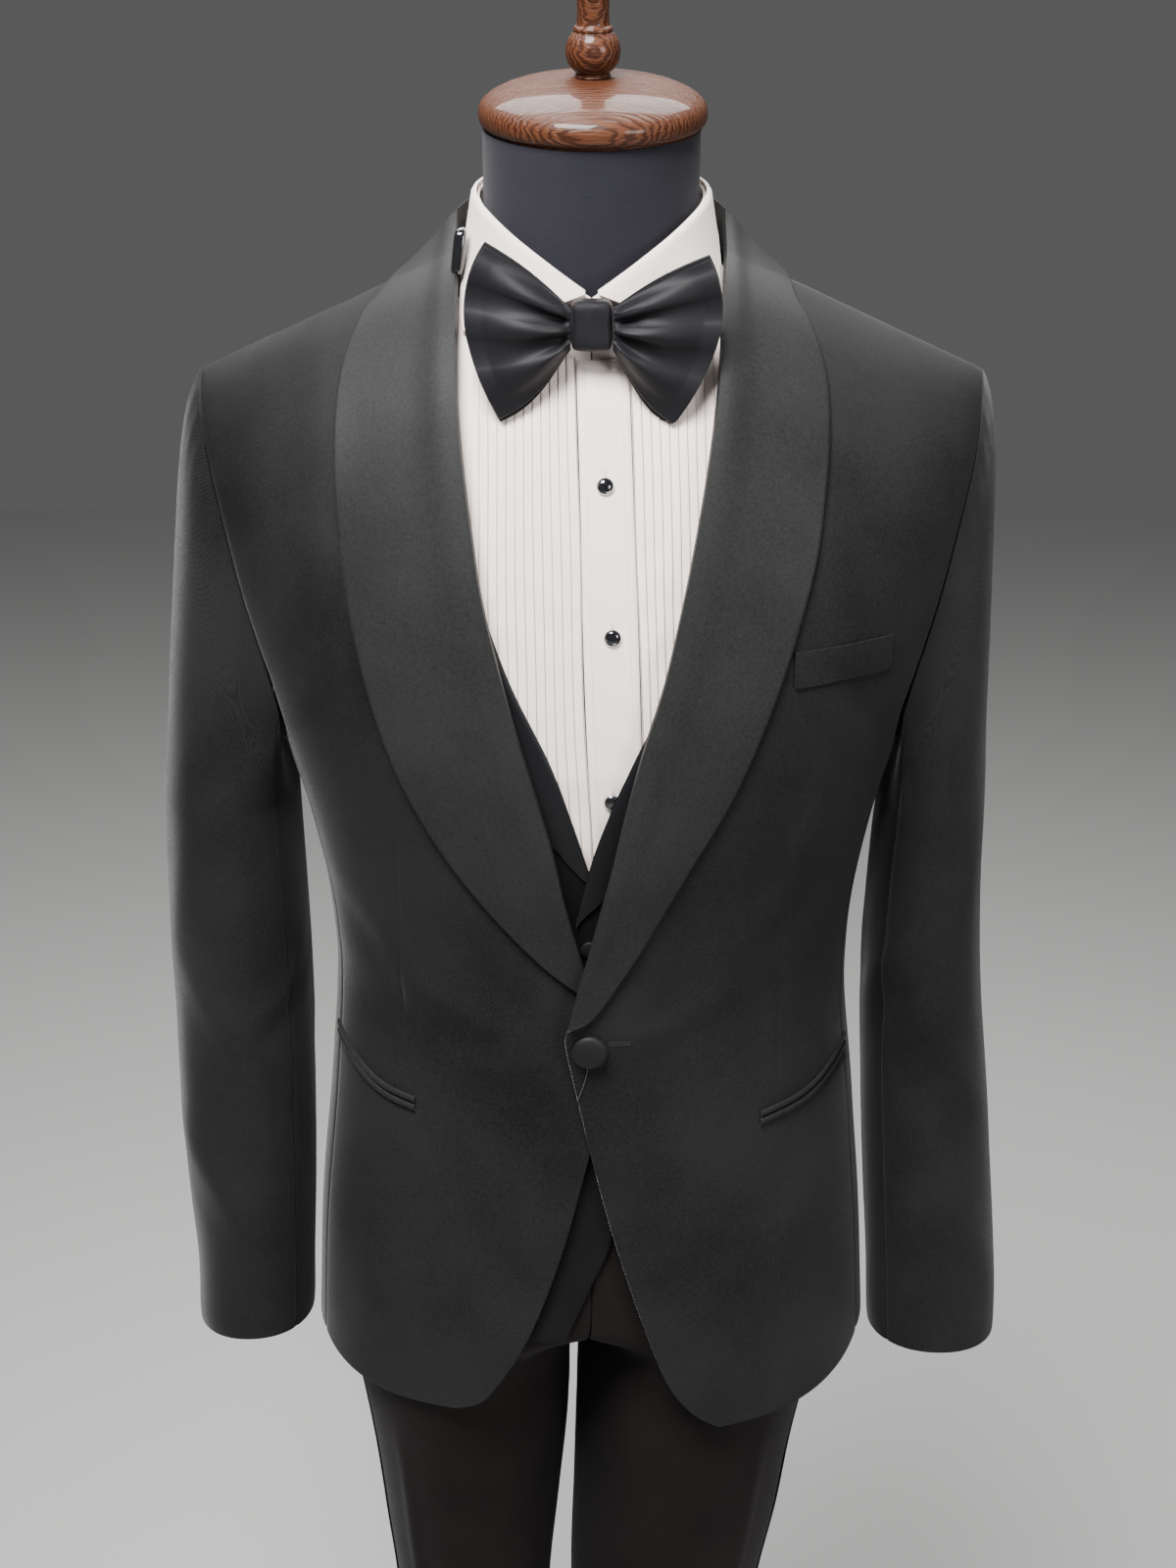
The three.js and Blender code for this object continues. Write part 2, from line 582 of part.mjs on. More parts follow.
// Shawl: stations from its point at the button, up the roll line and round the back of the neck. Each has
// its roll and its outer edge on the trunk, and the height that the roll stands off it behind the neck.
const SHAWL_FRONT = {
  left: [
    { x: -13.6, z: 1129, edgeX: -14.6, edgeZ: 1128, low: 1.4 }, { x: -9, z: 1150, edgeX: 1, edgeZ: 1138 },
    { x: -2, z: 1178, edgeX: 19, edgeZ: 1167 }, { x: 5, z: 1208, edgeX: 37, edgeZ: 1199 },
    { x: 12, z: 1237, edgeX: 55, edgeZ: 1229 }, { x: 20, z: 1271, edgeX: 76, edgeZ: 1267 },
    { x: 29, z: 1306, edgeX: 93, edgeZ: 1305 }, { x: 41, z: 1346, edgeX: 109, edgeZ: 1349 },
    { x: 52, z: 1395, edgeX: 123, edgeZ: 1399 }, { x: 59, z: 1431, edgeX: 129.5, edgeZ: 1438 },
    { x: 65, z: 1466, edgeX: 133, edgeZ: 1475 }, { x: 70, z: 1501, edgeX: 131.5, edgeZ: 1507 },
    { x: 73, z: 1535, edgeX: 124, edgeZ: 1530 }, { x: 75, z: 1555, edgeX: 117, edgeZ: 1541 },
    { x: 76.5, z: 1564.5, edgeX: 114.5, edgeZ: 1549 },
  ],
  right: [
    { x: -5, z: 1142, edgeX: -4, edgeZ: 1140 }, { x: 2, z: 1158, edgeX: 6, edgeZ: 1150 },
    { x: 8, z: 1180, edgeX: 25, edgeZ: 1166 }, { x: 15, z: 1208, edgeX: 48, edgeZ: 1190 },
    { x: 22, z: 1243, edgeX: 73, edgeZ: 1221 }, { x: 31, z: 1277, edgeX: 95, edgeZ: 1255 },
    { x: 41, z: 1312, edgeX: 114, edgeZ: 1295 }, { x: 50, z: 1346, edgeX: 128, edgeZ: 1341 },
    { x: 61, z: 1392, edgeX: 138, edgeZ: 1394 }, { x: 67, z: 1432, edgeX: 142.5, edgeZ: 1438 },
    { x: 72, z: 1470, edgeX: 144, edgeZ: 1478 }, { x: 75, z: 1505, edgeX: 141, edgeZ: 1508 },
    { x: 75.5, z: 1537, edgeX: 132, edgeZ: 1532 }, { x: 76, z: 1555, edgeX: 123, edgeZ: 1541 },
    { x: 76.5, z: 1564.5, edgeX: 117.5, edgeZ: 1547.5 },
  ],
};
const SHAWL_NECK = [
  { x: 77, z: 1567.4, edgeX: 113, edgeZ: 1550.6, lift: 17 },
  { x: 68, z: 1566, edgeX: 100, edgeZ: 1549, lift: 24 },
  { x: 51, z: 1561, edgeX: 75, edgeZ: 1548, lift: 30 },
  { x: 28, z: 1558, edgeX: 42, edgeZ: 1547, lift: 35 },
  { x: 0.6, z: 1557, edgeX: 0.6, edgeZ: 1546.5, lift: 37 },
];
const SHAWL_COLUMNS = [0, 0.1, 0.25, 0.45, 0.7, 1];
const STAND_COLUMNS = [0, 0.55];
const STAND_BASE_OUT = -0.6;
const STAND_TOP_OUT = 3.8;
const STAND_RAISE = 0.6;
const ROLL_ROUND = 2.2;
const ROLL_PLACE = 0.12;
const ROLL_SPREAD = 0.02;
const FALL_CURVE = 1.35;
const FULL_WIDTH = 60;

function shawlRow(name, sign, station, behind) {
  const roll = behind ? onBack(station.x, station.z) : onFront(station.x, station.z);
  const edge = behind ? onBack(station.edgeX, station.edgeZ) : onFront(station.edgeX, station.edgeZ);
  const lift = station.lift ?? 0;
  const stand = STAND_COLUMNS.map((u) => {
    const out = mix(station.low ?? STAND_BASE_OUT, STAND_TOP_OUT, u);
    const base = skin(roll.theta, roll.level, out + frontLift[name](roll.theta, roll.level));
    base.z += STAND_RAISE + lift * u;
    return base;
  });
  const fall = SHAWL_COLUMNS.map((u) => {
    const theta = mix(roll.theta, edge.theta, u);
    const level = mix(roll.level, edge.level, u);
    const round = ROLL_ROUND * smooth((station.edgeX - station.x) / FULL_WIDTH);
    const out = SHAWL.outer + round * Math.exp(-((u - ROLL_PLACE) ** 2) / ROLL_SPREAD);
    const point = skin(theta, level, out + frontLift[name](theta, level));
    point.z += lift * (1 - u) ** FALL_CURVE;
    return point;
  });
  return [...stand, ...fall].map((point) => point.setX(point.x * sign));
}

function shawl({ name, sign }) {
  const rows = [
    ...SHAWL_FRONT[name].map((station) => shawlRow(name, sign, station, false)),
    ...SHAWL_NECK.map((station) => shawlRow(name, sign, station, true)),
  ];
  add(`jacket_shawl_${name}`, 'satin', wallInside(rows, SHAWL.outer - SHAWL.inner, sign));
}

// Breast welt, pocket jets and the covered button of the jacket

function strip(name, finish, line, width, layer, lift) {
  const along = steps(line.length > 2 ? 6 : 4);
  const rows = [0, 1].map((v) => along.map((u) => {
    const x = read(line, 'u', 'x', u);
    const z = read(line, 'u', 'z', u) + (v - 0.5) * width;
    return onFront(x, z);
  }));
  add(name, finish, draped(rows, layer, lift));
}

function jacketTrim() {
  strip('jacket_breast_welt', 'wool', [{ u: 0, x: 114.5, z: 1348.8 }, { u: 1, x: 173, z: 1352 }], 21, TRIM);
  const pockets = {
    right: [{ u: 0, x: -108, z: 1064.7 }, { u: 0.5, x: -134, z: 1070 }, { u: 1, x: -160, z: 1088 }],
    left: [{ u: 0, x: 104, z: 1056 }, { u: 0.5, x: 136, z: 1063.5 }, { u: 1, x: 161, z: 1079 }],
  };
  for (const { name } of SIDES) {
    for (const [part, rise] of [['lower', -2.4], ['upper', 2.4]]) {
      const line = pockets[name].map(({ u, x, z }) => ({ u, x, z: z + rise }));
      strip(`pocket_jet_${part}_${name}`, 'wool', line, 4.2, TRIM);
    }
  }
}

// A domed button, its back towards the cloth, facing straight out from a spot on the trunk
function button(name, finish, x, z, radius, height, distance, lift = () => 0) {
  const spot = onFront(x, z);
  const profile = [
    [0, 0], [radius * 0.9, 0], [radius, height * 0.4], [radius * 0.7, height * 0.85], [0, height],
  ];
  const out = distance + lift(spot.theta, spot.level);
  const mesh = add(name, finish, turned(profile, 12));
  const seat = skin(spot.theta, spot.level, out);
  const outward = skin(spot.theta, spot.level, out + 1).sub(seat).normalize();
  mesh.quaternion.setFromUnitVectors(new THREE.Vector3(0, 0, 1), outward);
  mesh.position.copy(seat);
}

// Waistcoat

// Rows and columns of the backs of waistcoat and shirt, and the level of their shoulder seams
const LINING_RISE = [0.1, 0.28, 0.46, 0.62, 0.76, 0.89, 1];
const WAISTCOAT_BACK_COLUMNS = [0, 0.16, 0.33, 0.5, 0.648, 0.74, 0.86];
const SHIRT_BACK_COLUMNS = [0, 0.15, 0.32, 0.5, 0.64, 0.745, 0.87];
const LINING_SEAM_LEVEL = 1499.5;

const WAISTCOAT_FRONT = {
  left: [
    { x: 40, z: 903, faceX: 56, faceZ: 905, seam: 985 },
    { x: 24, z: 955, faceX: 42, faceZ: 956, seam: 1012 },
    { x: 10, z: 1005, faceX: 30, faceZ: 1006, seam: 1040 },
    { x: -5, z: 1055, faceX: 20, faceZ: 1056, seam: 1070 },
    { x: -10, z: 1090, faceX: 17, faceZ: 1090, seam: 1098 },
    { x: -10, z: 1126, faceX: 17, faceZ: 1126, seam: 1126 },
    { x: -10, z: 1160, faceX: 17, faceZ: 1159, seam: 1156 },
    { x: -8, z: 1191, faceX: 8, faceZ: 1211, seam: 1190 },
    { x: 2, z: 1230, faceX: 24, faceZ: 1229, seam: 1215 },
    { x: 13, z: 1262, faceX: 38, faceZ: 1252, seam: 1240 },
    { x: 28, z: 1298, faceX: 56, faceZ: 1284, seam: 1262 },
    { x: 50, z: 1345, faceX: 80, faceZ: 1332, seam: 1285 },
    { x: 66, z: 1395, faceX: 97, faceZ: 1388, seam: 1325 },
    { x: 77, z: 1445, faceX: 107, faceZ: 1440, seam: 1372 },
    { x: 84, z: 1490, faceX: 112, faceZ: 1483, seam: 1415 },
    { x: 88, z: 1525, faceX: 113, faceZ: 1515, seam: 1448 },
    { x: 90, z: 1550, faceX: 113, faceZ: 1540, seam: 1476 },
    { x: 90, z: 1561.6, faceX: 113, faceZ: 1551.4, seam: LINING_SEAM_LEVEL },
  ],
  right: [
    { x: 18, z: 903, faceX: 36, faceZ: 905, seam: 985 },
    { x: 0, z: 945, faceX: 24, faceZ: 948, seam: 1012 },
    { x: -14, z: 985, faceX: 14, faceZ: 990, seam: 1040 },
    { x: -9, z: 1055, faceX: 18, faceZ: 1056, seam: 1070 },
    { x: -7, z: 1090, faceX: 20, faceZ: 1090, seam: 1098 },
    { x: -7, z: 1126, faceX: 20, faceZ: 1126, seam: 1126 },
    { x: -7, z: 1160, faceX: 20, faceZ: 1159, seam: 1156 },
    { x: -7, z: 1200, faceX: 16, faceZ: 1201, seam: 1190 },
    { x: 2, z: 1217, faceX: 19, faceZ: 1237, seam: 1215 },
    { x: 16, z: 1262, faceX: 38, faceZ: 1252, seam: 1240 },
    { x: 28, z: 1298, faceX: 56, faceZ: 1284, seam: 1262 },
    { x: 50, z: 1345, faceX: 80, faceZ: 1332, seam: 1285 },
    { x: 66, z: 1395, faceX: 97, faceZ: 1388, seam: 1325 },
    { x: 77, z: 1445, faceX: 107, faceZ: 1440, seam: 1372 },
    { x: 84, z: 1490, faceX: 112, faceZ: 1483, seam: 1415 },
    { x: 88, z: 1525, faceX: 113, faceZ: 1515, seam: 1448 },
    { x: 90, z: 1550, faceX: 113, faceZ: 1540, seam: 1476 },
    { x: 90, z: 1561.6, faceX: 113, faceZ: 1551.4, seam: LINING_SEAM_LEVEL },
  ],
};
const FACING_FROM = { left: 7, right: 8 };
const WAISTCOAT_ARMHOLE = [
  { level: 1262, theta: 90 }, { level: 1268, theta: 78 }, { level: 1285, theta: 66 },
  { level: 1320, theta: 57 }, { level: 1370, theta: 51 }, { level: 1420, theta: 48 },
  { level: 1500, theta: 46 },
];
const waistcoatArmhole = (level) => (level <= 1262 ? 90 : read(WAISTCOAT_ARMHOLE, 'level', 'theta', level));
const FACING_COLUMNS = [0, 0.5, 1];
const WAISTCOAT_COLUMNS = [0.16, 0.33, 0.5, 0.67, 0.84, 1];
const UNDERLAP = { right: -1.3, left: 0.2 };

// The right waistcoat front sinks a little where the left one laps over it
function waistcoatLap(name) {
  return (theta, level) => {
    const x = Math.abs(trunk(theta, level).x);
    const open = 1 - smooth((level - 1225) / 60);
    return UNDERLAP[name] * (1 - smooth((x - 34) / 40)) * open;
  };
}

// Each front runs from its edge across the width of its facing, then on to the side seam or the armhole
function waistcoatFront({ name, sign }) {
  const table = WAISTCOAT_FRONT[name];
  const edge = table.map(({ x, z }) => onFront(x, z));
  const fold = table.map(({ faceX, faceZ }) => onFront(faceX, faceZ));
  const seam = table.map(({ seam: level }) => ({ theta: waistcoatArmhole(level) - 0.1, level }));
  const turn = (row) => row.map((spot) => turnTo(sign, spot));
  const facing = between(edge, fold, FACING_COLUMNS).map(turn);
  const rest = between(fold, seam, WAISTCOAT_COLUMNS).map(turn);
  const grid = facing.map((row, i) => [...row, ...rest[i]]);
  add(`waistcoat_front_${name}`, 'vest', draped(grid, WAISTCOAT, waistcoatLap(name)));
  const shawlRows = facing.slice(FACING_FROM[name]);
  add(`waistcoat_facing_${name}`, 'facing', draped(shawlRows, WAISTCOAT_FACING, waistcoatLap(name)));
}

function waistcoatBack() {
  const half = backSpots({
    hem: [985, 1040, 1090, 1126, 1160, 1205, 1262],
    centreHem: 1000,
    rise: LINING_RISE,
    columns: WAISTCOAT_BACK_COLUMNS,
    top: LINING_SEAM_LEVEL,
    from: 90.1,
    to: 180,
    neckTheta: 163.8,
    dip: 78,
    armhole: (level) => 180 - waistcoatArmhole(level) + 0.1,
    base: 1262,
  });
  add('waistcoat_back', 'vest', draped(wholeBack(half, 180), WAISTCOAT));
}

// Both halves of a back from the spots of its left half, with its centre line between them
function wholeBack(half, centre) {
  return half.map((row) => {
    const last = row[row.length - 1];
    const mid = { theta: centre, level: last.level + (last.level - row[row.length - 2].level) * 0.3 };
    const mirrored = [...row].reverse().map(({ theta, level }) => ({ theta: 360 - theta, level }));
    return [...row, mid, ...mirrored];
  });
}

// Shirt

const BIB_OUTER = { left: 86, right: 69 };
const PLACKET_LINE = [
  { z: 1132, left: 5, right: 39 }, { z: 1229, left: 1.5, right: 33 }, { z: 1306, left: -2.5, right: 29 },
  { z: 1374, left: -5, right: 26.6 }, { z: 1438, left: -6.5, right: 24.2 }, { z: 1523, left: -10, right: 22 },
];
const SHIRT_ROWS = [0, 0.2, 0.413, 0.53, 0.648, 0.752, 0.845, 0.93, 1];
const SHIRT_HEM = 1134;
const TUCKS = 12;
const NECK_FRONT_Z = 1523;
const NECK_SIDE_X = 79;
const NECK_CURVE = 2.2;
const shirtNeckZ = (x) => {
  const share = Math.min(Math.abs(x) / NECK_SIDE_X, 1) ** NECK_CURVE;
  return mix(NECK_FRONT_Z, ridgeHeight(NECK_SIDE_X), share);
};
const SHIRT_ARMHOLE = [
  { level: 1262, theta: 90 }, { level: 1268, theta: 76 }, { level: 1285, theta: 67 },
  { level: 1320, theta: 61 }, { level: 1370, theta: 58 }, { level: 1500, theta: 56 },
];
const shirtArmhole = (level) => (level <= 1262 ? 90 : read(SHIRT_ARMHOLE, 'level', 'theta', level));

// Each front is worked in tucks beside the placket, then runs plain to the side seam and armhole
function shirtFront({ name, sign }) {
  const columns = [];
  for (let i = 0; i < TUCKS * 2; i += 1) columns.push({ u: i / (TUCKS * 2), raise: i % 2 });
  columns.push({ u: 1, raise: 0 });
  const plain = [0.3, 0.64, 1];
  const edge = (z) => read(PLACKET_LINE, 'z', sign > 0 ? 'right' : 'left', z) * sign + 0.4;
  const outerRows = [];
  const innerRows = [];
  for (const w of SHIRT_ROWS) {
    const outer = [];
    const inner = [];
    const seat = (spot, raise) => {
      const { theta, level } = turnTo(sign, spot);
      outer.push(skin(theta, level, SHIRT.outer + raise * TUCK_HEIGHT));
      inner.push(skin(theta, level, SHIRT.inner));
    };
    let corner;
    for (const { u, raise } of columns) {
      const guess = mix(edge(mix(SHIRT_HEM, NECK_FRONT_Z, w)), BIB_OUTER[name], u);
      const z = mix(SHIRT_HEM, shirtNeckZ(guess), w);
      corner = onFront(mix(edge(z), BIB_OUTER[name], u), z);
      seat(corner, raise);
    }
    const level = mix(SHIRT_HEM, LINING_SEAM_LEVEL, w);
    const seam = { theta: shirtArmhole(level) - 0.1, level };
    for (const u of plain) {
      const theta = mix(corner.theta, seam.theta, u);
      const top = frontTop(theta);
      const rise = mix(corner.level, seam.level, u);
      seat({ theta, level: Math.min(w === 1 ? top : rise, top) }, 0);
    }
    outerRows.push(outer);
    innerRows.push(inner);
  }
  add(`shirt_front_${name}`, 'cotton', wall(outerRows, innerRows));
}

function frontTop(theta) {
  const neck = onFront(NECK_SIDE_X, ridgeHeight(NECK_SIDE_X)).theta;
  if (theta >= neck) return LINING_SEAM_LEVEL;
  const x = trunk(theta, SHOULDER_LEVEL).x;
  return onFront(x, shirtNeckZ(x)).level;
}

function shirtPlacket() {
  const zs = [1134, 1190, 1245, 1300, 1360, 1405, 1454, 1490, 1521];
  const rows = zs.map((z) => [0, 0.5, 1].map((u) => (
    onFront(mix(read(PLACKET_LINE, 'z', 'left', z), read(PLACKET_LINE, 'z', 'right', z), u), z))));
  add('shirt_placket', 'cotton', draped(rows, PLACKET));
}

function shirtBack() {
  const half = backSpots({
    hem: [1134, 1165, 1205, 1262],
    centreHem: 1134,
    rise: LINING_RISE,
    columns: SHIRT_BACK_COLUMNS,
    top: LINING_SEAM_LEVEL,
    from: 90.1,
    to: 180,
    neckTheta: 165.8,
    dip: 72,
    armhole: (level) => 180 - shirtArmhole(level) + 0.1,
    base: 1262,
  });
  add('shirt_back', 'cotton', draped(wholeBack(half, 180), SHIRT_BACK));
}

// Shirt collar: a stand round the neck and a leaf folded down over it. Beta goes round from the front, 0.
const FOLD = [
  { beta: 0, z: 1551 }, { beta: 30, z: 1574 }, { beta: 60, z: 1592 }, { beta: 90, z: 1602 },
  { beta: 130, z: 1608 }, { beta: 180, z: 1610 },
];
const STAND_BASE = [
  { beta: 0, z: 1522.4 }, { beta: 30, z: 1527.4 }, { beta: 60, z: 1544.4 }, { beta: 90, z: 1565.4 },
  { beta: 130, z: 1566.4 }, { beta: 180, z: 1564.4 },
];
const LEAF_EDGE = [
  { beta: 5, angle: 52, radius: 91.5, z: 1529 }, { beta: 25, angle: 57.5, radius: 88, z: 1536 },
  { beta: 50, angle: 69, radius: 80, z: 1551 }, { beta: 75, angle: 83, radius: 74, z: 1569 },
  { beta: 100, angle: 101.5, radius: 73, z: 1577 }, { beta: 140, angle: 140, radius: 73.4, z: 1580 },
  { beta: 180, angle: 180, radius: 74.6, z: 1580 },
];
const LEAF_COLUMNS = [0, 0.25, 0.5, 0.75, 1];
const COLLAR_BETAS = [3, 14, 26, 40, 56, 72, 90, 108, 128, 150, 172];
const allBetas = () => [...COLLAR_BETAS, ...[...COLLAR_BETAS].reverse().map((beta) => 360 - beta)];
const folded = (beta) => (beta > 180 ? 360 - beta : beta);

function collarRing(beta, radius, front, back, z) {
  const turn = beta * DEGREE;
  const depth = Math.cos(turn) > 0 ? front : back;
  return new THREE.Vector3(radius * Math.sin(turn), 2 - depth * Math.cos(turn), z);
}

// The stand's line at one beta: u runs from its base to the fold
function standPoint(beta, u, out) {
  const near = folded(beta);
  const low = collarRing(beta, 70 + out, 78 + out, 70 + out, read(STAND_BASE, 'beta', 'z', near));
  const high = collarRing(beta, 65.6 + out, 73 + out, 70.5 + out, read(FOLD, 'beta', 'z', near) - 1.4);
  return low.lerp(high, u);
}

function shirtCollar() {
  const stand = (out) => allBetas().map((beta) => [0, 1].map((u) => standPoint(beta, u, out)));
  add('shirt_collar_stand', 'cotton', wall(stand(0), stand(-1)));
  const leaf = (out) => allBetas().map((beta) => {
    const near = folded(beta);
    const side = beta > 180 ? -1 : 1;
    const z = read(FOLD, 'beta', 'z', near);
    const edge = {};
    for (const column of ['angle', 'radius', 'z']) edge[column] = read(LEAF_EDGE, 'beta', column, near);
    const fall = LEAF_COLUMNS.map((u) => {
      const reach = (size) => mix(size, edge.radius, u) + out;
      const angle = mix(near, edge.angle, u) * side;
      return collarRing(angle, reach(68.6), reach(76.2), reach(73.4), mix(z - 1.4, edge.z, u));
    });
    return [collarRing(beta, 66 + out, 73.4 + out, 70.9 + out, z + out * 1.2), ...fall];
  });
  add('shirt_collar_leaf', 'cotton', wall(leaf(1), leaf(0)));
}

// Bow tie

const BOW_Y = -92.6;
const WING = {
  right: { topX: 58, topZ: 1580, midX: 70, midZ: 1539, lowX: 51, lowZ: 1486 },
  left: { topX: 64, topZ: 1573, midX: 70.5, midZ: 1532, lowX: 45, lowZ: 1483 },
};
const WING_ROOT = { x: 11.5, low: 1525, high: 1547 };
const WING_LEAN = 3;
const WING_BACK = 1.5;
const PLEATS = 3;
const PLEAT_DEPTH = 2.4;
const SAG = { low: 6, high: 1.5 };
const PUFF = { edge: 3, middle: 5 };

function bowWing({ name, sign }) {
  const tip = WING[name];
  const along = [0, 0.12, 0.3, 0.55, 0.8, 1];
  const up = steps(10);
  const face = (front) => along.map((u) => up.map((w) => {
    const t = 2 * w - 1;
    const outerX = mix(tip.lowX, tip.topX, w) + (tip.midX - (tip.lowX + tip.topX) / 2) * (1 - t * t);
    const outerZ = mix(tip.lowZ, tip.topZ, w) + (tip.midZ - (tip.lowZ + tip.topZ) / 2) * (1 - t * t);
    const x = mix(WING_ROOT.x, outerX, u);
    const sag = Math.sin(Math.PI * u) * (SAG.high * w * w - SAG.low * (1 - w) ** 2);
    const z = mix(mix(WING_ROOT.low, WING_ROOT.high, w), outerZ, u) + sag;
    const fan = (1 - 0.55 * u) * smooth(u / 0.12);
    const pleat = Math.cos(w * PLEATS * 2 * Math.PI) * PLEAT_DEPTH * fan;
    const puff = PUFF.edge + PUFF.middle * Math.sin(Math.PI * Math.min(u * 1.2, 1)) * (1 - t * t);
    const y = BOW_Y + WING_LEAN * u + (front ? -puff + pleat : WING_BACK + pleat * 0.4);
    return new THREE.Vector3(sign * x, y, z);
  }));
  add(`bow_wing_${name}`, 'bow', wall(face(true), face(false)));
}

const KNOT_Y = -88.7;
function bowKnot() {
  const levels = [
    { z: 1524.5, half: 9.8, front: 6, back: 9 }, { z: 1526.5, half: 10.6, front: 8.2, back: 11.4 },
    { z: 1538, half: 11, front: 9.2, back: 12.4 }, { z: 1548, half: 11, front: 8.4, back: 11.8 },
    { z: 1550.5, half: 10, front: 6, back: 9 },
  ];
  const rings = levels.map(({ z, half, front, back }) => Array.from({ length: 16 }, (_, i) => {
    const turn = (i / 16) * 2 * Math.PI;
    const power = (v) => Math.sign(v) * Math.abs(v) ** 0.5;
    const deep = Math.cos(turn) > 0 ? front : back;
    return new THREE.Vector3(half * power(Math.sin(turn)), KNOT_Y - deep * power(Math.cos(turn)), z);
  }));
  add('bow_knot', 'bow', ringSolid(rings));
}

// Neckband: a strap in a ring round the collar's stand, under its leaf, open at the knot
const BAND_OFF = 0.5;
const BAND_WALL = 0.7;
function bowNeckband() {
  const face = (out) => allBetas().map((beta) => [0.3, 0.72].map((u) => standPoint(beta, u, out)));
  add('bow_neckband', 'bow', wall(face(BAND_OFF + BAND_WALL), face(BAND_OFF)));
}

// Trousers: hip rings that part into two legs at the fork

const TROUSER = [
  { z: 40, middle: -24, left: 106, right: 128, leftIn: 5, rightIn: 27,
    front: 60, back: 62, exponent: 2.1 },
  { z: 300, middle: -24, left: 111, right: 133, leftIn: 1, rightIn: 30,
    front: 66, back: 68, exponent: 2.1 },
  { z: 500, middle: -24, left: 115, right: 137, leftIn: 8, rightIn: 32,
    front: 74, back: 76, exponent: 2.1 },
  { z: 619, middle: -23, left: 119, right: 139, leftIn: 14.5, rightIn: 30,
    front: 84, back: 84, exponent: 2.1 },
  { z: 700, middle: -18, left: 132.5, right: 146, leftIn: 12.5, rightIn: 22.5,
    front: 95, back: 94, exponent: 2.1 },
  { z: 770, middle: -13.5, left: 142, right: 153, leftIn: 10.5, rightIn: 16,
    front: 105, back: 105, exponent: 2.15 },
  { z: 841, middle: -10, left: 157, right: 164, leftIn: 8, rightIn: 13,
    front: 114, back: 110, exponent: 2.15 },
  { z: 880, middle: -4, left: 170, right: 172, leftIn: 3.65, rightIn: 4.35,
    front: 121, back: 117, exponent: 2.2 },
  { z: 915, middle: 0, left: 173, right: 173, leftIn: 0, rightIn: 0,
    front: 123.5, back: 123, exponent: 2.4 },
  { z: 950, middle: 0, left: 171, right: 171, leftIn: 0, rightIn: 0,
    front: 122, back: 122, exponent: 2.4 },
  { z: 1054, middle: 0, left: 160, right: 160, leftIn: 0, rightIn: 0,
    front: 116, back: 106, exponent: 2.4 },
  { z: 1104, middle: 0, left: 155, right: 155, leftIn: 0, rightIn: 0,
    front: 114, back: 99, exponent: 2.4 },
];
const FORK_Z = 870;
const HIP_Z = 912;
const LEG_ROWS = [40, 180, 360, 520, 640, 720, 790, 841, 870, 882, 896, 914, 955, 1005, 1054, 1101.5];
const TROUSER_WALL = 1.5;
const STRIPE_TOP = 960;
const INSIDE_GAP = 0.35;

// A point on one leg: turn 0 is the outseam, 90 the front and 180 the inseam; the back is negative
function legPoint(name, sign, turn, z) {
  const outer = read(TROUSER, 'z', name, z);
  const middle = read(TROUSER, 'z', 'middle', z);
  const parted = 1 - smooth((z - FORK_Z) / (HIP_Z - FORK_Z));
  const inner = z < FORK_Z
    ? (name === 'left' ? -1 : 1) * read(TROUSER, 'z', `${name}In`, z)
    : mix(-outer + 2 * middle * sign, middle * sign + INSIDE_GAP, parted ** 1.4);
  const centre = (outer + inner) / 2;
  const half = (outer - inner) / 2;
  const depth = read(TROUSER, 'z', turn > 0 ? 'front' : 'back', z);
  const exponent = read(TROUSER, 'z', 'exponent', z);
  const power = (v) => Math.sign(v) * Math.abs(v) ** (2 / exponent);
  const x = centre + half * power(Math.cos(turn * DEGREE));
  const y = -depth * power(Math.sin(turn * DEGREE));
  return new THREE.Vector3(sign * x, y, z);
}

// The turn at which a ring reaches the plane between the legs, or the inseam below the fork
function insideTurn(name, sign, z) {
  const plane = read(TROUSER, 'z', 'middle', z) * sign + INSIDE_GAP;
  let low = 80;
  let high = 180;
  for (let i = 0; i < 40; i += 1) {
    const mid = (low + high) / 2;
    if (legPoint(name, sign, mid, z).x * sign > plane) low = mid;
    else high = mid;
  }
  return Math.min(low, 179.8);
}

function legGrid(name, sign, face, from, reach, distance, zs, columns) {
  return zs.map((z) => columns.map((u) => {
    const end = reach ?? insideTurn(name, sign, z);
    const turn = face * mix(from, end, u);
    const here = legPoint(name, sign, turn, z);
    const step = 0.8;
    const round = legPoint(name, sign, turn + step, z).sub(legPoint(name, sign, turn - step, z));
    const up = legPoint(name, sign, turn, Math.min(z + 2, 1104)).sub(legPoint(name, sign, turn, z - 2));
    const normal = round.cross(up).normalize();
    if (normal.dot(new THREE.Vector3(sign * Math.cos(turn * DEGREE), -Math.sin(turn * DEGREE), 0)) < 0) {
      normal.negate();
    }
    return here.addScaledVector(normal, distance);
  }));
}

function trousers({ name, sign }) {
  for (const [part, face] of [['front', 1], ['back', -1]]) {
    const columns = steps(6);
    const grid = (distance) => legGrid(name, sign, face, 0.15, undefined, distance, LEG_ROWS, columns);
    add(`trouser_${part}_${name}`, 'trouser', wall(grid(0), grid(-TROUSER_WALL)));
  }
  const zs = LEG_ROWS.filter((z) => z < STRIPE_TOP);
  const stripe = (distance) => legGrid(name, sign, 1, -14, 14, distance, zs, steps(2));
  add(`trouser_stripe_${name}`, 'stripe', wall(stripe(1.6), stripe(0.6)));
}

